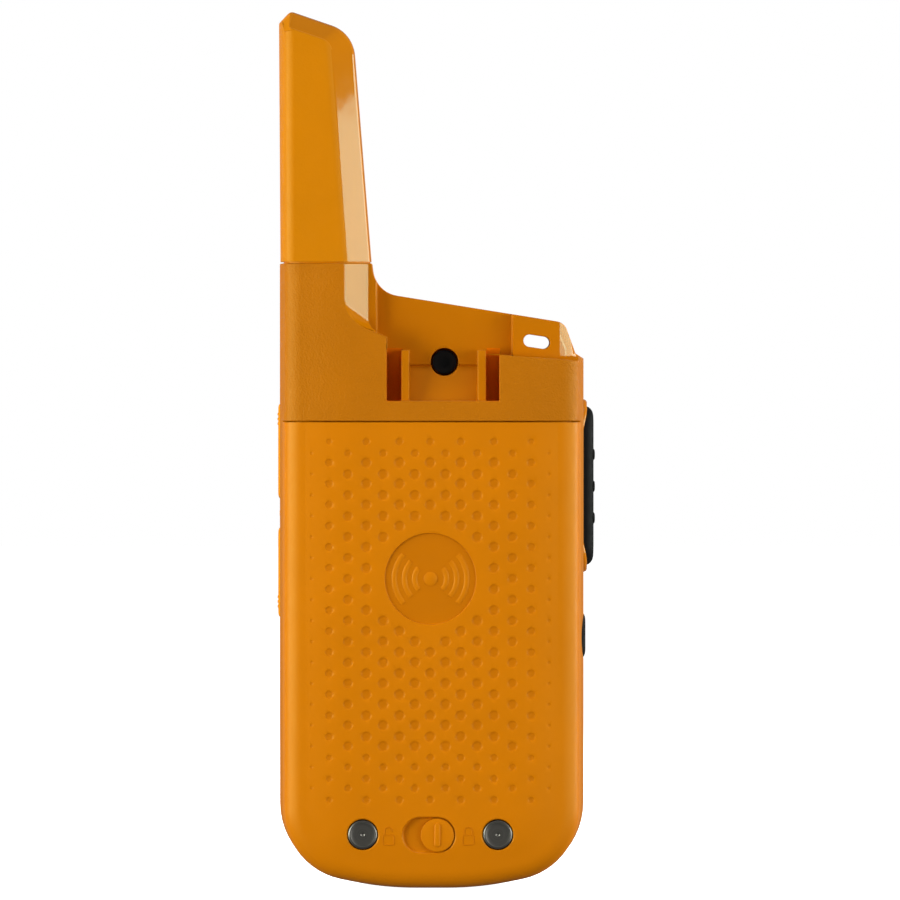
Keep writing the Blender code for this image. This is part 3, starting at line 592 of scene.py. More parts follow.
def edge_levels(start, face, wall, steps=8, pillowed=True):
    """(lean, inset, y) from the depth start, round the edge and over the pillowed face."""
    way = 1 if face > 0 else -1
    centre = face - way * EDGE
    reach = EDGE - wall
    rim = EDGE + DRAFT
    drop = pillow(rim) if pillowed else 0.0
    levels = [(DRAFT * (start - SPLIT) / (centre - SPLIT), wall, start)]
    for step in range(steps + 1):
        angle = math.pi / 2 * step / steps
        share = math.sin(angle)
        levels.append((DRAFT, EDGE - reach * math.cos(angle), centre + way * (reach * share - drop * share ** 2)))
    if pillowed:
        for step in range(1, 6):
            inset = rim + (PILLOW_START - rim) * step / 5
            levels.append((DRAFT, inset - DRAFT, face - way * (wall + pillow(inset))))
    return levels


def body_half(start, face, wall=0.0, pillowed=True, name="cutter", slots=()):
    """The solid between the split and the front or back face, shrunk by wall."""
    rings = []
    for lean, inset, y in edge_levels(start, face, wall, pillowed=pillowed):
        rings.append([(p.x, y, p.y - lean) for p in outline(BODY, lean + inset, 12)])
    return loft(rings, 1, name, slots)


def over_top():
    """A cutter for what lies above the body's stepped top edge."""
    corners = [(OUTSIDE, ABOVE + 2, 0), (-OUTSIDE, ABOVE + 2, 0), (-OUTSIDE, 98.4, 0), SHOULDER, TAB_FOOT, TOP_CORNER,
               TOP_FILLET, (STUB_INNER_X, STUB_TOP, 0), (OUTSIDE, STUB_TOP, 0)]
    return slab(outline(corners, steps=10), -BEHIND, BEHIND)


def prism_x(profile, low, high, index=1):
    """A cutter with a (y, z) profile, from low to high along X."""
    return slab(profile, low, high, "YZ", index)


def frame_outline(half_width, bottom, top, radius, steps=6):
    """A rounded rectangle about the middle plane, as (x, z)."""
    return outline([(-half_width, bottom, radius), (half_width, bottom, radius), (half_width, top, radius),
                    (-half_width, top, radius)], steps=steps)


def side_outline(front, back, bottom, top, gap, steps=8):
    """A slot with round ends on a side, as (y, z), grown by gap."""
    return stadium((front + back) / 2, (bottom + top) / 2, back - front + 2 * gap, top - bottom + 2 * gap,
                   steps=steps)


# ---------------------------------------------------------------- rear housing

def shelf_region(edge_x, vertex_z, radius):
    """The area above the clip bay and beside the stub, as (x, z)."""
    return outline([(-OUTSIDE, 98.5, 0), (BAY_RIGHT, 100.0, 0), (BAY_RIGHT + 0.1, BAY_TOP, 0), (BAY_LEFT, BAY_TOP, 0),
                    (BAY_LEFT, 103.3, 0), (edge_x, vertex_z, radius), (edge_x, ABOVE + 2, 0),
                    (-OUTSIDE, ABOVE + 2, 0)], steps=12)


def gloss_slopes(tool):
    """Give a cutter's sloping faces the glossy finish and its flat ones the satin finish."""
    for face in tool.data.polygons:
        face.material_index = SATIN if abs(face.normal.y) > 0.99 else GLOSSY
    return tool


def side_scoop():
    """A shallow finger scoop in the side of the body, behind the side button."""
    radius, surface = 20.8, -28.2
    x, z = surface - radius, (SIDE_BUTTON[2] + SIDE_BUTTON[3]) / 2 - 0.2
    return cylinder((x, SIDE_BUTTON[1] - 0.1, z), (x, 9.0, z), radius, 160, index=0)


def make_rear_housing():
    """The back shell: a shelf round the clip bay, a raised tab with the slot, and the room for the cover."""
    # The last slot is a brighter orange, painted light on the pocket faces of the clip bay.
    housing = body_half(REAR_FRONT, HALF_DEPTH, name="rear_shell",
                        slots=("textured_orange", "satin_orange", "smooth_orange", "pocket_painted_light_orange"))
    # The shelf's edge slopes out to the back face in facets: (y, x of the edge, z of the corner, its radius).
    levels = [(TAB_BACK, 11.9, 105.0, 3.0), (14.75, 15.3, 106.2, 5.4), (15.0, 15.58, 106.3, 5.7),
              (15.2, 15.84, 106.4, 6.0), (15.34, 16.08, 106.5, 6.2), (15.44, 16.34, 106.6, 6.4),
              (15.6, 16.9, 106.8, 6.9), (BEHIND, 22.0, 108.5, 10.0)]
    facets = loft([[(p.x, y, p.y) for p in shelf_region(*corner)] for y, *corner in levels])
    # The lower shelf's walls lean out by draft, with a rounded foot and top.
    shelf = []
    for y, draft in ((9.0, -0.3), (9.04, -0.15), (9.15, -0.04), (9.3, 0.0), (11.75, 0.0), (11.88, 0.035),
                     (11.97, 0.125), (11.995, 0.22), (TAB_BACK + 1, 0.25)):
        left, right = 10.35 + draft, TAB_EDGE_X - draft
        shelf.append([(x, y, z) for x, z in (
            (right, 99.8), (BAY_RIGHT + 0.05, 99.9), (BAY_RIGHT + 0.15, BAY_TOP), (RIBS[1][1], BAY_TOP),
            (RIBS[1][1], LEDGE), (RIBS[0][0], LEDGE), (RIBS[0][0], BAY_TOP), (BAY_LEFT, BAY_TOP),
            (BAY_LEFT, 103.3), (left, 104.1), (left, ABOVE), (right, ABOVE))])
    slope = [(-24.0, TAB_BACK), (-24.0, BEHIND), (-OUTSIDE, BEHIND), (-OUTSIDE, 1.5), (-26.2, 10.3)]
    tab_end = slab(slope, 99.6, ABOVE, "XY", GLOSSY)
    for face in tab_end.data.polygons:
        if abs(face.normal.z) > 0.9:
            face.material_index = 0
    cut(housing, over_top(), gloss_slopes(facets), loft(shelf, SATIN), tab_end)
    cut_clip_bay(housing)
    zone = box((-OUTSIDE, COVER_FRONT - GAP, -5), (OUTSIDE, BEHIND, SEAM + GAP - 0.06))
    cut(zone, body_half(COVER_FRONT - 3, HALF_DEPTH, TRAY_WALL, pillowed=False))
    bake_modifiers(zone)
    cut(housing, zone)
    cut_tray(housing)
    cut(housing, lanyard_slot(), side_scoop())
    bake_modifiers(housing)
    round_edges(housing, 0.18)
    keep(housing, "radio_body", "textured_orange", "rear_housing")


def lanyard_slot():
    """A cutter right through the body."""
    x, z, width, height = SLOT
    return slab(stadium(x, z, width, height, SLOT_TILT), -BEHIND, BEHIND)


def cut_clip_bay(housing):
    """Two pockets beside the ribs, the ramp between them, and the screw well; profiles are (y, z)."""
    pocket = [(7.5, BAY_BOTTOM), (BEHIND, BAY_BOTTOM), (BEHIND, 101.6), (SHELF_BACK + 0.1, 101.6), (7.5, 95.5)]
    ramp = [(11.2, BAY_BOTTOM), (BEHIND, BAY_BOTTOM), (BEHIND, 101.4), (TAB_BACK + 0.5, 101.4),
            (TAB_BACK + 0.5, LEDGE + 0.1), (SHELF_BACK - 0.05, LEDGE + 0.1), (SHELF_BACK - 0.35, LEDGE - 0.15)]
    (left_rib_in, left_rib_out), (right_rib_out, right_rib_in) = RIBS
    # The pockets' faces take slot POCKET, the brighter orange painted as light in them.
    cut(housing,
        prism_x(pocket, left_rib_out, BAY_LEFT, POCKET), prism_x(pocket, BAY_RIGHT, right_rib_out, POCKET),
        prism_x(ramp, right_rib_in, left_rib_in),
        box((BAY_RIGHT + 1, RIB_BACK, BAY_BOTTOM), (BAY_LEFT - 1, BEHIND, BAY_TOP + 1)),
        cylinder((WELL[0], 4.0, WELL[1]), (WELL[0], BEHIND, WELL[1]), 2.6, 40))


def groove_ring(low, high):
    """A frame-shaped cutter for the gasket's groove."""
    half_width, bottom, top = GROOVE
    width = 1.2
    ring = slab(frame_outline(half_width, bottom, top, 2.5), low, high)
    inner = frame_outline(half_width - width, bottom + width, top - width, 1.5)
    cut(ring, slab(inner, low - 1, high + 1))
    return bake_modifiers(ring)


def cut_tray(housing):
    """The battery tray, and the room for contacts, latch, screws and hooks."""
    half_width, bottom, top = TRAY
    cut(housing, slab(frame_outline(half_width, bottom, top, 1.0, 3), TRAY_FLOOR, BEHIND),
        groove_ring(12.4, BEHIND))
    for x in CONTACTS_X:
        cut(housing, cylinder((x, 12.6, CONTACT_Z), (x, BEHIND, CONTACT_Z), 3.2))
    cut(housing, box((-8.0, 11.1, 4.6), (9.2, BEHIND, 14.9)))
    for x, z in SCREWS:
        cut(housing, cylinder((x, 10.2, z), (x, BEHIND, z), 2.2, 24))
    for x in HOOKS_X:
        low, high = x - 3.5, x + 3.5
        cut(housing, box((low, 10.8, SEAM - 4), (high, 13.5, SEAM + 2.7)),
            box((low, 10.8, SEAM - 4.2), (high, BEHIND, SEAM + 0.2)))


# ---------------------------------------------------------------- battery cover

def foot_height(x):
    """Height of the body's bottom edge, before its corners are rounded."""
    return FOOT_SLOPE * max(abs(x) - FOOT_FLAT, 0.0)


def inset_at(x, z):
    """Distance in from the body's outline, for a point of the back face."""
    centre_x = HALF_WIDTH - FOOT_RADIUS
    centre_z = foot_height(centre_x) + FOOT_RADIUS * math.hypot(1.0, FOOT_SLOPE) - DRAFT
    if abs(x) > centre_x and z < centre_z:
        return FOOT_RADIUS - math.hypot(abs(x) - centre_x, z - centre_z)
    return min(HALF_WIDTH - abs(x), z + DRAFT - foot_height(x))


def open_path(lean, inset):
    """The body's outline from the seam on one side, down round the foot, and up to the seam on the other."""
    steps = 12
    group = steps + 1
    points = [Vector((p.x, p.y - lean)) for p in outline(BODY, lean + inset, steps)]
    half = HALF_WIDTH - lean - inset
    return [Vector((-half, SEAM)), *points[5 * group:], *points[:3 * group], Vector((half, SEAM))]


def dimples():
    """(x, z, radius) of the cover's pattern of shallow hollows."""
    # Columns stand on both sides of the middle one, each with the radius of its dimples.
    columns = ((0.0, 1.0), (2.87, 1.0), (5.73, 1.0), (8.8, 0.98), (11.95, 0.96), (15.4, 0.9), (18.9, 0.76),
               (22.25, 0.32))
    middle = 0.26
    clear_of_emblem = 10.7
    found = []
    for number, (offset, radius) in enumerate(columns):
        rows = [83.7 - 3.947 * row for row in range(18)] if number % 2 == 0 else \
            [81.5 - 3.919 * row for row in range(17)]
        for x in sorted({middle + offset, middle - offset}):
            for row, z in enumerate(rows):
                near_end = row == 0 or z < 26.0
                reach = radius * (0.74 if near_end and radius > 0.5 else 1.0)
                if math.hypot(x - EMBLEM[0], z - EMBLEM[1]) > clear_of_emblem:
                    found.append((x, z, reach))
    return found


def cover_surface(x, z):
    """Depth of the cover's pillowed back face."""
    return HALF_DEPTH - pillow(inset_at(x, z))


def make_battery_cover():
    """The cover as one closed mesh: a bent rim, the dimpled back, the flat inside, and their openings."""
    work = bmesh.new()
    rim_level = 9
    outer = edge_levels(COVER_FRONT, HALF_DEPTH, 0.0, 8)[:rim_level + 1]
    inner = edge_levels(COVER_FRONT, HALF_DEPTH, COVER_WALL, 5, pillowed=False)
    rings = [[(p.x, y, p.y) for p in open_path(lean, inset)] for lean, inset, y in [*reversed(inner), *outer]]
    loops = loft_mesh(work, rings, closed=False, caps=False)
    steps = 24
    half = loops[-1][-1].co.x
    crest = []
    for step in range(1, steps):
        x = half - 2 * half * step / steps
        crest.append(work.verts.new((x, cover_surface(x, SEAM), SEAM)))

    x, z, width, height = LATCH_SLOT
    latch_ring = stadium(x, z, width, height)
    latch_hole = stadium(x + STEM_OFFSET, z, LATCH_TRAVEL + 1.4, 1.4)
    contact_rings = [circle(cx, CONTACT_Z, CONTACT_RADIUS + 0.05) for cx in CONTACTS_X]
    back = cover_back(work, [*loops[-1], *crest], latch_ring, contact_rings)
    front = cover_inside(work, loops[0], [latch_hole, *contact_rings])
    for near, far in zip(back[1:], front[1:]):
        bridge(work, near, far)
    floors = [
        [work.verts.new((p.x, LATCH_FLOOR + rise, p.y)) for p in stadium(x, z, width, height, inset=inset)]
        for inset, rise in ((0.05, 0.15), (0.25, 0.0))
    ]
    mouth = [work.verts.new((p.x, LATCH_FLOOR, p.y)) for p in latch_hole]
    for near, far in zip((back[0], *floors, mouth), (*floors, mouth, front[0])):
        bridge(work, near, far)
    left = [loop[0] for loop in loops]
    right = [loop[-1] for loop in loops]
    work.faces.new([*left, *crest[::-1], *right[::-1]])
    lip = {loops[-1][0], loops[-1][-1], *crest}
    bmesh.ops.bevel(work, geom=[edge for edge in work.edges if lip.issuperset(edge.verts)], offset=0.16, segments=2,
                    profile=0.5, affect="EDGES")
    # The second slot is a darker orange, painted shade on the sunken floors of the dimples and the emblem's recess.
    cover = finish_mesh("battery_door", work, ("cover_orange", "painted_shade_orange"), 28)
    keep(cover, "battery_cover", "cover_orange", "battery_cover")
    weigh_normals(cover)
    make_hooks()


def make_hooks():
    """The cover's two hooks, with a (y, z) profile."""
    profile = [(11.9, SEAM - 2), (13.1, SEAM - 2), (14.1, SEAM - 1.2), (14.1, SEAM - 0.1), (13.1, SEAM - 0.1),
               (13.1, SEAM + 1.4), (12.7, SEAM + 2), (11.9, SEAM + 2)]
    for number, x in enumerate(HOOKS_X, 1):
        hook = slab(profile, x - 3, x + 3, "YZ", name=f"door_hook_{number}", slots=("cover_orange",))
        keep(hook, "battery_cover", "cover_orange")


def inside(point, ring):
    """True if the point is inside the closed ring."""
    odd = False
    for first, second in zip(ring, ring[1:] + ring[:1]):
        if (first.y > point.y) != (second.y > point.y):
            crossing = first.x + (point.y - first.y) * (second.x - first.x) / (second.y - first.y)
            if point.x < crossing:
                odd = not odd
    return odd


class Plate:
    """A flat or pillowed plate, triangulated between its boundary, rings and loose points."""

    def __init__(self, boundary):
        self.made = list(boundary)
        self.points = [Vector((vert.co.x, vert.co.z)) for vert in boundary]
        self.edges = self.chain(0, len(boundary))
        # Vertices of the sunken floors: faces wholly on them get the darker orange, painted shade.
        self.sunken_shade = set()

    @staticmethod
    def chain(start, count):
        return [(start + i, start + (i + 1) % count) for i in range(count)]

    def ring(self, work, ring, height):
        start = len(self.points)
        for p in ring:
            self.point(work, p.x, p.y, height(p.x, p.y))
        self.edges += self.chain(start, len(ring))
        return self.made[start:]

    def point(self, work, x, z, y):
        self.points.append(Vector((x, z)))
        self.made.append(work.verts.new((x, y, z)))

    def build(self, work, holes):
        verts, _edges, faces, sources, _from_edges, _from_faces = delaunay_2d_cdt(
            self.points, self.edges, [], 1, 0.00001)
        for face in faces:
            middle = middle_of([verts[i] for i in face])
            if any(inside(middle, hole) for hole in holes):
                continue
            corners = [self.made[sources[i][0]] for i in face]
            # Faces wholly on sunken floors take slot 1, the darker orange painted as shade.
            work.faces.new(corners).material_index = int(all(corner in self.sunken_shade for corner in corners))


def cover_back(work, boundary, latch_ring, contact_rings):
    """The dimpled back face, and the loops of vertices round its openings."""
    plate = Plate(boundary)
    pattern = dimples()
    for x, z, radius in pattern:
        segments = 8 if radius < 0.5 else 16
        plate.ring(work, circle(x, z, radius * 1.1, segments), cover_surface)
        deepest = DIMPLE_DEPTH * radius
        for share, sunk in ((1.0, 0.25), (0.84, 0.85), (0.62, 1.0)):
            floor = plate.ring(work, circle(x, z, radius * share, segments),
                               lambda u, v, sunk=deepest * sunk: cover_surface(u, v) - sunk)
            plate.sunken_shade.update(floor)
    x, z, radius = EMBLEM
    plate.ring(work, circle(x, z, radius + 0.1, 72), cover_surface)
    for inset, sunk in ((0.02, 0.05), (0.1, EMBLEM_DEPTH - 0.05), (0.25, EMBLEM_DEPTH), (4.0, EMBLEM_DEPTH)):
        floor = plate.ring(work, circle(x, z, radius - inset, 72), lambda u, v, sunk=sunk: HALF_DEPTH - sunk)
        plate.sunken_shade.update(floor)
    openings = []
    for ring in (latch_ring, *contact_rings):
        lip = [p + (p - middle_of(ring)).normalized() * 0.2 for p in ring]
        plate.ring(work, lip, cover_surface)
        openings.append(plate.ring(work, ring, lambda u, v: cover_surface(u, v) - 0.12))
    columns, rows, pitch_x, pitch_z = 37, 62, 1.25, 1.3
    for column in range(columns):
        for row in range(rows):
            spot = Vector((-22.5 + pitch_x * column, 6.0 + pitch_z * row))
            if is_clear(spot, pattern):
                plate.point(work, spot.x, spot.y, cover_surface(spot.x, spot.y))
    plate.build(work, [latch_ring, *contact_rings])
    return openings


def is_clear(spot, pattern):
    """True where the back face needs a loose point: off the dimples, the emblem, the contacts and the latch."""
    rim, contact_room, latch_room = 6.0, 4.0, (5.8, 4.2)
    if inset_at(spot.x, spot.y) < rim or spot.y > SEAM - 0.6:
        return False
    if (spot - Vector(EMBLEM[:2])).length < EMBLEM[2] + 0.5:
        return False
    if any((spot - Vector((x, CONTACT_Z))).length < contact_room for x in CONTACTS_X):
        return False
    if abs(spot.x - LATCH_SLOT[0]) < latch_room[0] and abs(spot.y - LATCH_SLOT[1]) < latch_room[1]:
        return False
    return all(abs(spot.x - x) > r + 0.3 or abs(spot.y - z) > r + 0.3 for x, z, r in pattern)


def cover_inside(work, boundary, rings):
    """The cover's flat inner face, and the loops of vertices round its openings."""
    plate = Plate(boundary)
    openings = [plate.ring(work, ring, lambda u, v: HALF_DEPTH - COVER_WALL) for ring in rings]
    plate.build(work, rings)
    return openings


def sweep(work, points, radius, flat, closed=False):
    """A bead along points in one XZ plane, flattened along Y by flat."""
    sides = 8
    points = [Vector(p) for p in points]
    loops = []
    for spot, point in enumerate(points):
        before = points[spot - 1] if closed or spot else point
        after = points[(spot + 1) % len(points)] if closed or spot < len(points) - 1 else point
        along = (after - before).normalized()
        across = Vector((along.z, 0, -along.x))
        loops.append([
            work.verts.new(point + across * radius * math.cos(math.tau * i / sides)
                           + Vector((0, radius * flat * math.sin(math.tau * i / sides), 0)))
            for i in range(sides)
        ])
    for near, far in zip(loops, loops[1:] + loops[:1] if closed else loops[1:]):
        bridge(work, near, far)
    if not closed:
        work.faces.new(loops[0])
        work.faces.new(loops[-1])


def arc(x, y, z, radius, start, end, steps):
    """Points of an arc in an XZ plane, between two angles in degrees."""
    points = []
    for step in range(steps + 1):
        angle = math.radians(start + (end - start) * step / steps)
        points.append((x + radius * math.cos(angle), y, z + radius * math.sin(angle)))
    return points


def relief(work, points, y, height):
    """A raised flat mark with sloping edges, from an XZ outline."""
    inset = 0.12
    middle = middle_of(points)
    rings = []
    for rise, pull in ((-0.1, 0.0), (height - inset * 0.5, 0.0), (height, inset)):
        moved = [middle + (p - middle) * (1 - pull / max((p - middle).length, 0.3)) for p in points]
        rings.append([(p.x, y + rise, p.y) for p in moved])
    loft_mesh(work, rings)


def make_emblem():
    """Plain radio waves round a dot, raised in the round recess."""
    x, z, _radius = EMBLEM
    y = HALF_DEPTH - EMBLEM_DEPTH
    work = bmesh.new()
    relief(work, circle(x, z, 1.3, 28), y, 0.15)
    for radius in (3.0, 4.9, 6.8):
        for middle in (0, 180):
            sweep(work, arc(x, y, z, radius, middle - 42, middle + 42, 18), 0.5, 0.26)
    seal("emblem_waves", work, "battery_cover", "cover_orange")


def make_lock_marks():
    """A small padlock outline on each side of the latch, open and closed."""
    for name, x, closed in (("lock_mark_open", 8.07, False), ("lock_mark_closed", -6.9, True)):
        z = 9.1
        case = [Vector((p.x + x, p.y + z)) for p in frame_outline(1.05, -0.9, 0.9, 0.3, 3)]
        right, left = x + 0.7, x - 0.7
        shackle = [(right, z + 0.9), (right, z + 1.7), *[(u, w) for u, _y, w in arc(x, 0, z + 1.7, 0.7, 0, 180, 12)],
                   (left, z + 1.6)]
        if closed:
            shackle.append((left, z + 0.9))
        work = bmesh.new()
        for points, loop in ((case, True), (shackle, False)):
            sweep(work, [(p[0], cover_surface(p[0], p[1]) - 0.03, p[1]) for p in points], 0.17, 0.7, closed=loop)
        # The marks take the darker orange: painted shade, as in the shadow of an engraved line.
        seal(name, work, "battery_cover", "cover_orange", finish="painted_shade_orange")


def make_latch():
    """The round slider with its ridge, and the stem and tongue behind it."""
    z = LATCH_SLOT[1]
    profile = [(0, 14.58), (LATCH_RADIUS - 0.1, 14.58), (LATCH_RADIUS, 14.66), (LATCH_RADIUS, 15.24),
               (LATCH_RADIUS - 0.08, 15.34), (LATCH_RADIUS - 0.25, 15.38), (1.6, 15.38), (0, 15.38)]
    latch = lathe("latch_slider", (LATCH_X, z), profile, ("cover_orange",), 48)
    keep(latch, "battery_latch", "cover_orange", "battery_latch")
    work = bmesh.new()
    stack(work, ((0.0, 15.2), (0.0, 15.48), (0.05, 15.56), (0.15, 15.62), (0.3, 15.64)),
          lambda inset: stadium(LATCH_X, z, 1.15, 4.5, inset=inset, steps=6))
    seal("latch_ridge", work, "battery_latch", "cover_orange")
    profile = [(0, 11.5), (0.55, 11.5), (0.55, 14.7), (0, 14.7)]
    stem = lathe("latch_stem", (LATCH_X + STEM_OFFSET, z), profile, ("cover_orange",), 20)
    keep(stem, "battery_latch", "cover_orange")
    tongue = [(LATCH_X - 3.5, z - 1.4), (LATCH_X + 1.5, z - 1.4), (LATCH_X + 1.5, z + 1.4), (LATCH_X - 3.5, z + 1.4)]
    keep(slab(tongue, 11.5, 12.5, name="latch_tongue", slots=("cover_orange",)), "battery_latch", "cover_orange")


def make_contacts():
    """The two charging contacts, each with a domed head and a ring near its middle."""
    for side, x in zip(("left", "right"), CONTACTS_X):
        r = CONTACT_RADIUS - 0.12
        profile = [(1.1, -2.4), (1.1, 13.0), (r, 13.0), (r, 15.0), (r - 0.08, 15.18), (r - 0.25, 15.28),
                   (r - 0.42, 15.3), (r - 0.55, 15.25), (1.6, 15.25), (0.4, 15.25), (0.32, 15.2), (0.15, 15.16),
                   (0, 15.15)]
        contact = lathe(f"contact_{side}", (x, CONTACT_Z), profile, ("nickel",), 48)
        contact.data.materials[0] = turned_nickel(f"turned_nickel_{side}", x, CONTACT_Z)
        keep(contact, "radio_body", "nickel", f"charge_contact_{side}")


# ---------------------------------------------------------------- antenna

def offset_corners(corners, insets):
    """Corners whose edges have each moved inwards by their own inset; edge i leaves corner i."""
    moved = []
    for index, (here, radius, first, second, turn) in enumerate(bends(corners)):
        first_in, second_in = left_of(first), left_of(second)
        a, b = insets[index - 1], insets[index]
        # Solve p . first_in = here . first_in + a and p . second_in = here . second_in + b.
        u, v = here.dot(first_in) + a, here.dot(second_in) + b
        det = first_in.x * second_in.y - first_in.y * second_in.x
        point = Vector(((u * second_in.y - v * first_in.y) / det, (first_in.x * v - second_in.x * u) / det))
        shrunk = max(radius - (a + b) / 2, 0.15) if turn > 0 else radius
        moved.append((point.x, point.y, shrunk if radius else 0))
    return moved


def antenna_back(z):
    """Depth of the antenna's sloping back face."""
    return 15.2 - 0.0731 * (z - ANTENNA_BASE)


def antenna_front(z):
    """Depth of the antenna's sloping front face."""
    return -8.8 + 0.1304 * (z - ANTENNA_BASE)


# Corners in counter-clockwise order in (x, z), then the insets and drops of their edges.
ANTENNA_CORNERS = [(11.35, ANTENNA_BASE, 0), (28.55, ANTENNA_BASE, 0), (28.75, 162.3, 0.6),
                   (26.7, ANTENNA_TOP, 1.2), (14.75, 160.4, 6.3)]


def antenna_ring(inner, top, left, depth):
    """One outline of the antenna, its edges moved in by inner, top and left, and its depth at each edge."""
    insets = [0.0, left[0], (left[0] + top[0]) / 2, top[0], inner[0]]
    drops = [0.0, left[1], (left[1] + top[1]) / 2, top[1], inner[1]]
    steps = 12
    points = []
    corners = offset_corners(ANTENNA_CORNERS, insets)
    flat = outline(corners, steps=steps)
    spot = 0
    for index, corner in enumerate(corners):
        if corner[2] == 0:
            points.append((flat[spot], drops[4] if index == 0 else drops[1]))
            spot += 1
            continue
        for step in range(steps + 1):
            share = (1 - math.cos(math.pi * step / steps)) / 2
            points.append((flat[spot], drops[index - 1] * (1 - share) + drops[index] * share))
            spot += 1
    return [(p.x, depth(p.y) - drop, p.y) for p, drop in points]


def make_antenna():
    """The sleeve, whose levels give (inset, drop) for the inner, top and left edges, and the collar under it."""
    work = bmesh.new()
    levels = [
        ((5.5, 0.0), (3.2, 0.0), (3.0, 0.0)),
        ((4.95, 0.08), (3.1, 0.03), (2.1, 0.25)),
        ((4.35, 0.36), (3.0, 0.16), (1.5, 0.7)),
        ((4.1, 0.55), (2.9, 0.3), (1.2, 1.1)),
        ((0.62, 3.75), (0.6, 2.9), (0.8, 2.0)),
        ((0.3, 4.1), (0.3, 3.3), (0.62, 2.7)),
        ((0.08, 4.6), (0.08, 3.8), (0.5, 3.4)),
        ((0.0, 5.4), (0.0, 4.6), (0.4, 4.6)),
    ]
    rings = [antenna_ring(*level, antenna_back) for level in levels]
    for inset, rise in ((0.0, 3.0), (0.2, 1.9), (0.9, 0.85), (1.9, 0.2), (3.0, 0.0)):
        rings.append(antenna_ring((inset, -rise), (inset, -rise), (inset, -rise), antenna_front))
    loft_mesh(work, rings, index=1)
    for face in work.faces:
        middle = face.calc_center_median()
        below = antenna_back(middle.z) - middle.y
        if below < 0.45 or middle.x > 26.0 or middle.y < 5.0:
            face.material_index = 0
    antenna = finish_mesh("antenna_sleeve", work, ("antenna_orange", "smooth_orange"), 36)
    weigh_normals(antenna)
    keep(antenna, "radio_body", "textured_orange", "antenna_cover")
    base = [(27.9, -8.4), (27.9, -3.0), (27.3, 11.4), (27.0, 12.6), (26.1, 13.6), (24.8, 14.2), (21.5, 14.75),
            (16.9, 14.8), (15.6, 14.2), (12.1, 11.1), (11.6, 9.6), (11.6, -8.4)]
    collar = slab(base, STUB_TOP - 0.4, ANTENNA_BASE + 0.4, "XY", name="antenna_collar", slots=("cover_orange",))
    keep(collar, "radio_body", "cover_orange")


# ---------------------------------------------------------------- front

def make_front_housing():
    """The front shell, with openings for the panel, the keys, the speaker and the pieces at both sides."""
    housing = body_half(SPLIT, -HALF_DEPTH, name="front_shell", slots=("textured_orange", "satin_orange"))
    slope = [(-BEHIND, 100.5), (-8.8, STUB_TOP), (-8.8, ABOVE), (-BEHIND, ABOVE)]
    cavity = BODY[:3] + [(HALF_WIDTH, 107, 4), (-18.2, 107, 4), (-18.2, 101.2, 1), (-HALF_WIDTH, 101.2, 4), BODY[-1]]
    half_width, bottom, top = BEZEL
    panel = frame_outline(half_width + GAP, bottom - GAP, top + GAP, 4)
    half_width, bottom, top = WINDOW
    window = frame_outline(half_width - 1, bottom + 1, top - 1, 1)
    cut(housing, over_top(), prism_x(slope, STUB_INNER_X - 3, OUTSIDE),
        slab(outline(cavity, WALL, 4), FRONT_INNER, SPLIT + 1), slab(panel, -BEHIND, BEZEL_FLOOR),
        slab(window, -BEHIND, -12), *[slab(key_hole(*key), -BEHIND, -12) for key in KEYS.values()])
    for number in range(GRILLE_SLOTS):
        offset = (number - (GRILLE_SLOTS - 1) / 2) * GRILLE_PITCH
        length = 2 * math.sqrt(SPEAKER_RADIUS ** 2 - offset ** 2) - 3
        cut(housing, slab(stadium(SPEAKER[0], SPEAKER[1] + offset, length, 1.5, steps=5), -BEHIND, -12))
    cut(housing, lanyard_slot())
    bake_modifiers(housing)
    round_edges(housing, 0.2)
    housing.modifiers.clear()
    # What follows keeps its sharp edges, because they lie close to others.
    front, back = FLAP_Y[0] - GAP, FLAP_Y[1] + GAP
    bottom, top = LOWER_FLAP_BOTTOM - GAP, UPPER_FLAP_TOP + GAP
    recess = [(front, bottom), (back, bottom), (back, top), (front, top)]
    x, z = MICROPHONE
    jack_y, jack_z = JACK
    cut(housing, cylinder((x, -BEHIND, z), (x, -12, z), 0.7, 16), side_scoop(),
        prism_x(side_outline(*PTT, GAP), -OUTSIDE, -24), prism_x(side_outline(*SIDE_BUTTON, GAP), -OUTSIDE, -24),
        prism_x(recess, FLAP_INNER - GAP, OUTSIDE),
        cylinder((22, jack_y, jack_z), (OUTSIDE, jack_y, jack_z), 3.1),
        prism_x(stadium(*PORT, 4.4, 10.2), 22, OUTSIDE))
    bake_modifiers(housing)
    shade(housing, 35)
    weigh_normals(housing)
    keep(housing, "radio_body", "smooth_orange", "front_housing")


def key_hole(x, z):
    """The opening round a key, as (x, z)."""
    return stadium(x, z, KEY_SIZE[0] + 2 * GAP, KEY_SIZE[1] + 2 * GAP)


def make_split_lip():
    """The tongue behind the seam between the two halves of the body."""
    corners = [*BODY[:3], (HALF_WIDTH, STUB_TOP, 0.5), (STUB_INNER_X, STUB_TOP, 0.5), TOP_FILLET, TOP_CORNER,
               TAB_FOOT, SHOULDER, BODY[-1]]
    outer, inner = outline(corners, 0.55), outline(corners, 2.2)
    work = bmesh.new()
    rings = [[(p.x, y, p.y) for p in points]
             for points, y in ((outer, SPLIT - 0.9), (outer, REAR_FRONT + 0.6), (inner, REAR_FRONT + 0.6),
                               (inner, SPLIT - 0.9))]
    tube_mesh(work, rings)
    seal("split_lip", work, "radio_body", "textured_orange", finish="satin_orange", smooth=32)


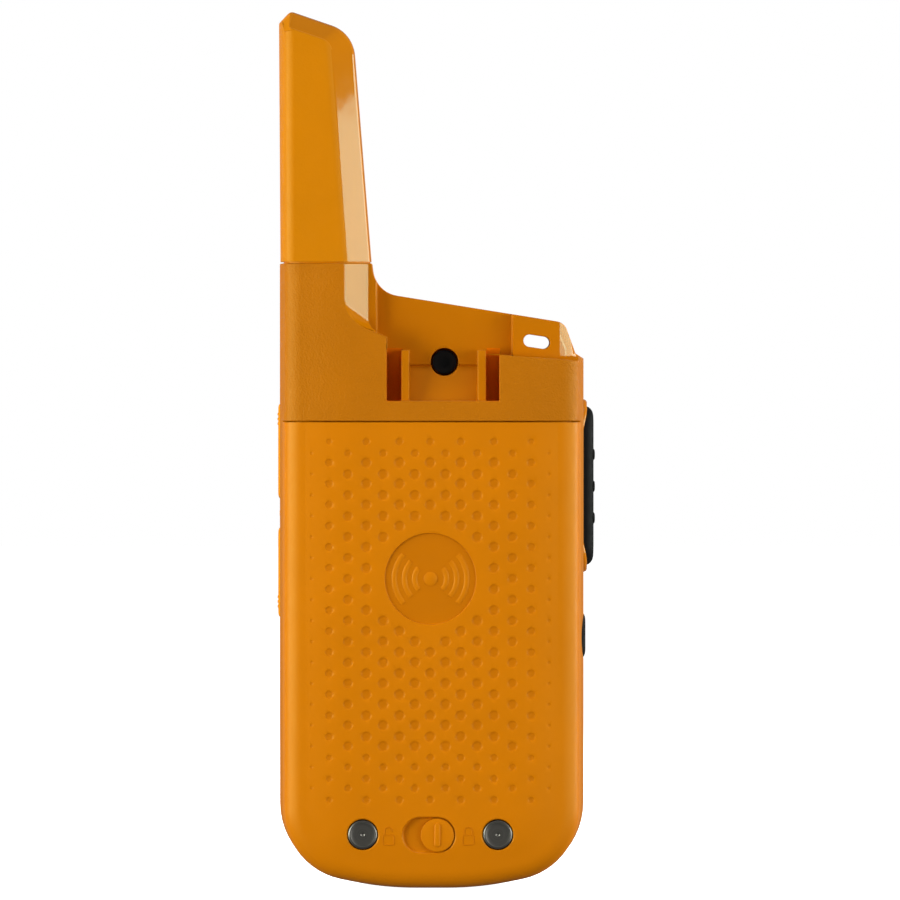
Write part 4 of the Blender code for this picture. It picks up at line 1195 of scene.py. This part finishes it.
def make_ptt_surround():
    """The raised orange rim round the push-to-talk pad, scooped between its ends."""
    y, middle = (PTT[0] + PTT[1]) / 2, (PTT[2] + PTT[3]) / 2

    def crest(z, full):
        """The rim is full height at its ends and low between them."""
        share = min(max((abs(z - middle) - 9.0) / 5.5, 0.0), 1.0)
        low = max(full, -28.45)
        return low + (full - low) * share * share * (3 - 2 * share)

    rings = []
    for grow, full, fixed in ((1.3, -27.2, True), (1.3, -28.8, False), (1.12, -29.15, False), (0.8, -29.3, False),
                              (0.45, -29.2, False), (0.3, -29.0, False), (0.28, -26.6, True)):
        points = stadium(y, middle, PTT[1] - PTT[0] + 2 * grow, PTT[3] - PTT[2] + 2 * grow, steps=10)
        rings.append([(full if fixed else crest(p.y, full), p.x, p.y) for p in refine(points)])
    work = bmesh.new()
    tube_mesh(work, rings)
    seal("ptt_surround", work, "radio_body", "smooth_orange", smooth=50)


def refine(points):
    """The same closed outline with its long straight sides split into parts."""
    parts = 20
    refined = []
    for spot, point in enumerate(points):
        after = points[(spot + 1) % len(points)]
        refined.append(point)
        if (after - point).length > 5:
            refined += [point.lerp(after, part / parts) for part in range(1, parts)]
    return refined


def side_pad(work, extent, levels):
    """A pad with round ends on the -X side: levels are (inset, x)."""
    stack(work, levels, lambda inset: side_outline(*extent, -inset, 10), "YZ")


def make_side_buttons():
    """The rubber push-to-talk pad with its three ridges, and the smaller button below it."""
    work = bmesh.new()
    side_pad(work, PTT, ((0.0, -27.0), (0.0, -29.2), (0.15, -29.62), (0.5, -30.04), (1.0, -30.36), (1.7, -30.53),
                         (2.6, -30.57)))
    y = (PTT[0] + PTT[1]) / 2
    for z in (81.1, 75.1, 69.1):
        stack(work, ((0.0, -30.3), (0.0, -30.6), (0.12, -30.72), (0.35, -30.79), (0.6, -30.82)),
              lambda inset: stadium(y, z, 4.8, 2.1, inset=inset, steps=6), "YZ")
    seal("ptt_pad", work, "ptt_button", "black_rubber", "ptt_button")
    work = bmesh.new()
    side_pad(work, SIDE_BUTTON, ((0.0, -26.6), (0.0, -28.3), (0.15, -28.6), (0.5, -28.85), (1.0, -29.0),
                                 (1.6, -29.05)))
    seal("side_pad", work, "side_button", "black_rubber", "side_button")


def flap_outline(low, high, inset, radius):
    """A rounded rectangle on the +X side, as (y, z)."""
    front, back = FLAP_Y
    front, back, low, high = front + inset, back - inset, low + inset, high - inset
    return outline([(front, low, radius), (back, low, radius), (back, high, radius), (front, high, radius)], steps=5)


def make_port_cover():
    """The rubber anchor, the two flaps with their plugs and grip bars, and the thin webs between them."""
    front, back = FLAP_Y
    middle = (front + back) / 2
    anchor_low, anchor_high = 68.4, 71.7
    flap_levels = ((0.0, FLAP_INNER), (0.0, 28.2), (0.12, 28.55), (0.4, 28.85), (0.85, 28.98), (1.5, FLAP_OUTER))
    for name, low, high, plug, grip_z in (
            ("upper", UPPER_HINGE_Z + 0.4, UPPER_FLAP_TOP, circle(*JACK, 2.5, 28), UPPER_FLAP_TOP - 3.1),
            ("lower", LOWER_FLAP_BOTTOM, LOWER_HINGE_Z - 0.4, stadium(*PORT, 3.0, 8.8), LOWER_FLAP_BOTTOM + 3.1)):
        work = bmesh.new()
        stack(work, flap_levels, lambda inset: flap_outline(low, high, inset, 1.2), "YZ")
        stack(work, ((0.0, 26.3), (0.0, FLAP_INNER + 0.3)), lambda inset: plug, "YZ")
        for step in (-1, 0, 1):
            stack(work, ((0.0, 28.9), (0.0, FLAP_OUTER + 0.12)),
                  lambda inset: stadium(middle, grip_z + step * 0.9, 4.2, 0.45, steps=4), "YZ")
        seal(f"flap_{name}", work, f"port_flap_{name}", "orange_rubber", f"port_flap_{name}")
    work = bmesh.new()
    stack(work, ((0.0, FLAP_INNER), (0.0, 27.7), (0.3, 28.2), (0.75, 28.6), (1.25, 28.72)),
          lambda inset: flap_outline(anchor_low, anchor_high, inset, max(0.9 - inset, 0.2)), "YZ")
    seal("flap_anchor", work, "radio_body", "orange_rubber", "port_cover_anchor")
    for name, start, end in (("upper", 71.5, 72.9), ("lower", 68.6, 67.2)):
        web = make_web(f"flap_web_{name}", start, end)
        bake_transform(web)


def make_web(name, start, end):
    """The thin living hinge between the anchor and a flap."""
    front, back = FLAP_Y[0] + 0.9, FLAP_Y[1] - 0.9
    inner, outer, waist = 27.32, 27.9, 0.12
    steps = 8
    rings = []
    for step in range(steps + 1):
        z = start + (end - start) * step / steps
        x = outer - waist * math.sin(math.pi * step / steps)
        rings.append([(inner, front, z), (inner, back, z), (x, back, z), (x, front, z)])
    work = bmesh.new()
    loft_mesh(work, rings)
    return finish_mesh(name, work, ("orange_rubber",), 40)


def make_front_panel():
    """The black panel with its keys, and the lens over the screen."""
    half_width, bottom, top = BEZEL
    bezel = slab(frame_outline(half_width, bottom, top, 3.7, 8), -15.7, BEZEL_FLOOR - GAP, name="panel",
                 slots=("black_plastic",))
    window_half, window_bottom, window_top = WINDOW
    lens_hole = frame_outline(window_half + GAP, window_bottom - GAP, window_top + GAP, 1.5)
    cut(bezel, slab(lens_hole, -BEHIND, -12, index=0))
    for name, place in KEYS.items():
        cut(bezel, slab(key_hole(*place), -BEHIND, -12, index=0))
        make_key(name, *place)
    bake_modifiers(bezel)
    round_edges(bezel, 0.25, 3)
    keep(bezel, "radio_body", "black_plastic", "front_bezel")
    work = bmesh.new()
    stack(work, ((0.0, BEZEL_FLOOR - GAP), (0.0, -15.3), (0.1, -15.48), (0.3, -15.6)),
          lambda inset: frame_outline(window_half - inset, window_bottom + inset, window_top - inset, 1.2))
    seal("lens_pane", work, "radio_body", "lens", "display_lens")


def make_key(name, x, z):
    """A rubber key with a rounded edge, and its mark."""
    work = bmesh.new()
    stack(work, ((0.0, KEY_INNER), (0.0, -15.6), (0.12, -15.85), (0.4, -16.05), (0.9, -16.16), (1.7, -16.2)),
          lambda inset: stadium(x, z, *KEY_SIZE, inset=inset))
    seal(f"{name}_cap", work, name, "black_rubber", name)
    make_key_mark(name, x, z)


def make_key_mark(name, x, z):
    """A plain pale symbol on the key: power, arrows, a bell, lines and a ring."""
    y = -16.18
    work = bmesh.new()
    if name == "key_power":
        sweep(work, arc(x, y, z, 1.2, -235, 55, 18), 0.16, 0.4)
        sweep(work, [(x, y, z + 0.3), (x, y, z + 1.5)], 0.16, 0.4)
    elif name in ("key_up", "key_down"):
        way = 1 if name == "key_up" else -1
        sweep(work, [(x - 1.3, y, z - 0.6 * way), (x, y, z + 0.7 * way), (x + 1.3, y, z - 0.6 * way)], 0.17, 0.4)
    elif name == "key_call":
        for radius in (0.7, 1.3, 1.9):
            sweep(work, arc(x - 0.8, y, z, radius, -45, 45, 8), 0.15, 0.4)
    elif name == "key_menu":
        for step in (-0.8, 0.0, 0.8):
            sweep(work, [(x - 1.3, y, z + step), (x + 1.3, y, z + step)], 0.15, 0.4)
    else:
        sweep(work, arc(x + 0.3, y, z + 0.3, 1.0, 0, 345, 18), 0.15, 0.4, closed=False)
        sweep(work, [(x - 0.5, y, z - 0.5), (x - 1.3, y, z - 1.3)], 0.17, 0.4)
    seal(f"{name}_mark", work, name, "core")


# ---------------------------------------------------------------- battery

def upright(name, x, y, profile, slots, index_of):
    """A turned piece whose axis runs along Z: profile points are (radius, z)."""
    piece = lathe(name, (x, 0.0), profile, slots, 40, index_of)
    turn = Matrix.Translation((0, y * MM, 0)) @ Matrix.Rotation(math.pi / 2, 4, "X")
    shift = Matrix.Translation((x * MM, 0, 0))
    piece.data.transform(shift @ turn @ shift.inverted())
    return piece


def make_cells():
    """Three cells side by side, the middle one upside down."""
    low, high = 20.5, 71.0
    for number in (1, 2, 3):
        x = (number - 2) * 14.8
        profile = [(0, 0.15), (4.6, 0.15), (4.9, 0.0), (6.4, 0.0), (6.75, 0.35), (7.1, 0.7), (7.1, 48.7), (6.95, 49.1),
                   (6.3, 49.4), (5.6, 49.25), (2.95, 49.3), (2.75, 49.5), (2.75, 50.35), (2.6, 50.5), (0, 50.5)]
        placed = [(r, high - z if number == 2 else low + z) for r, z in profile]
        cell = upright(f"cell_{number}", x, 6.4, placed, ("cell", "nickel"),
                       index_of=lambda band: 0 if 4 <= band <= 6 else 1)
        keep(cell, "radio_body", "cell", f"battery_cell_{number}")


# ---------------------------------------------------------------- studio

def make_studio():
    """Soft even light that looks plain white to the camera, softboxes at the sides, and a pale floor."""
    world = bpy.data.worlds.new("studio")
    bpy.context.scene.world = world
    world.use_nodes = True
    tree = world.node_tree
    background, white = tree.nodes["Background"], tree.nodes.new("ShaderNodeBackground")
    for source, strength in ((background, 0.16), (white, 1.0)):
        source.inputs["Color"].default_value = (1, 1, 1, 1)
        source.inputs["Strength"].default_value = strength
    path = tree.nodes.new("ShaderNodeLightPath")
    mix = tree.nodes.new("ShaderNodeMixShader")
    tree.links.new(path.outputs["Is Camera Ray"], mix.inputs[0])
    tree.links.new(background.outputs[0], mix.inputs[1])
    tree.links.new(white.outputs[0], mix.inputs[2])
    tree.links.new(mix.outputs[0], tree.nodes["World Output"].inputs["Surface"])

    # Softboxes: place, aim, width, height, power and colour.
    target, neutral, greenish = (0, 0, 0.085), (1, 1, 1), (0.96, 1.0, 0.9)
    for name, place, aim, width, height, power, colour in (
            ("right", (-0.62, 0.10, 0.130), (0, 0.10, 0.130), 0.9, 0.260, 4.9, greenish),
            ("right_back", (-0.50, 0.62, 0.05), target, 0.5, 0.3, 2.1, neutral),
            ("left", (0.62, 0.30, 0.11), target, 0.7, 0.3, 7.7, greenish),
            ("top", (0.0, 0.25, 0.85), target, 0.8, 0.6, 3.0, neutral),
            ("front_left", (0.45, -0.65, 0.33), target, 0.5, 0.5, 4.5, neutral),
            ("front_right", (-0.45, -0.65, 0.33), target, 0.5, 0.5, 4.5, neutral)):
        light = bpy.data.lights.new(f"softbox_{name}", "AREA")
        light.shape = "RECTANGLE"
        light.size, light.size_y = width, height
        light.energy = power
        light.color = colour
        lamp = bpy.data.objects.new(f"softbox_{name}", light)
        lamp.location = place
        lamp.rotation_euler = (Vector(aim) - Vector(place)).to_track_quat("-Z", "Y").to_euler()
        lamp.visible_glossy = not name.startswith("front")
        bpy.context.scene.collection.objects.link(lamp)

    work = bmesh.new()
    bmesh.ops.create_grid(work, x_segments=1, y_segments=1, size=4.0)
    mesh = bpy.data.meshes.new("floor")
    work.to_mesh(mesh)
    work.free()
    floor = bpy.data.objects.new("floor", mesh)
    bpy.context.scene.collection.objects.link(floor)
    paper = Shader("floor_paper", Roughness=0.9)
    paper.vary_colour(paper.noise(60.0), (0.93, 0.93, 0.93), (0.95, 0.95, 0.95))
    paper.principled.inputs["Emission Color"].default_value = (1, 1, 1, 1)
    paper.principled.inputs["Emission Strength"].default_value = 1.0
    mesh.materials.append(paper.material)
    floor.location = (0, 0, -0.0002)
    floor.visible_diffuse = False
    floor.visible_glossy = False


def make_camera():
    """A long lens behind the radio, a little above level."""
    lens = bpy.data.cameras.new("camera")
    lens.lens = 532.2
    lens.sensor_width = 36.0
    lens.clip_end = 50
    camera = bpy.data.objects.new("camera", lens)
    bpy.context.scene.collection.objects.link(camera)
    aim = Vector((-0.00345, 0.006, 0.08205))
    tilt = math.radians(0.5)
    distance = 2.5
    camera.location = aim + Vector((0, math.cos(tilt), math.sin(tilt))) * distance
    camera.rotation_euler = (aim - camera.location).to_track_quat("-Z", "Y").to_euler()
    bpy.context.scene.camera = camera
    bpy.context.scene.view_settings.view_transform = "Standard"


# ---------------------------------------------------------------- build

make_materials()
for node in frame["nodes"].values():
    for slot in node.material_slots:
        if slot.material:
            slot.material = FINISHES[slot.material.name.split(".")[0]]
make_rear_housing()
make_battery_cover()
make_emblem()
make_lock_marks()
make_latch()
make_contacts()
make_antenna()
make_front_housing()
make_split_lip()
make_ptt_surround()
make_side_buttons()
make_port_cover()
make_front_panel()
make_cells()
for tool in list(workshop.objects):
    bpy.data.objects.remove(tool)
bpy.data.collections.remove(workshop)
make_studio()
make_camera()
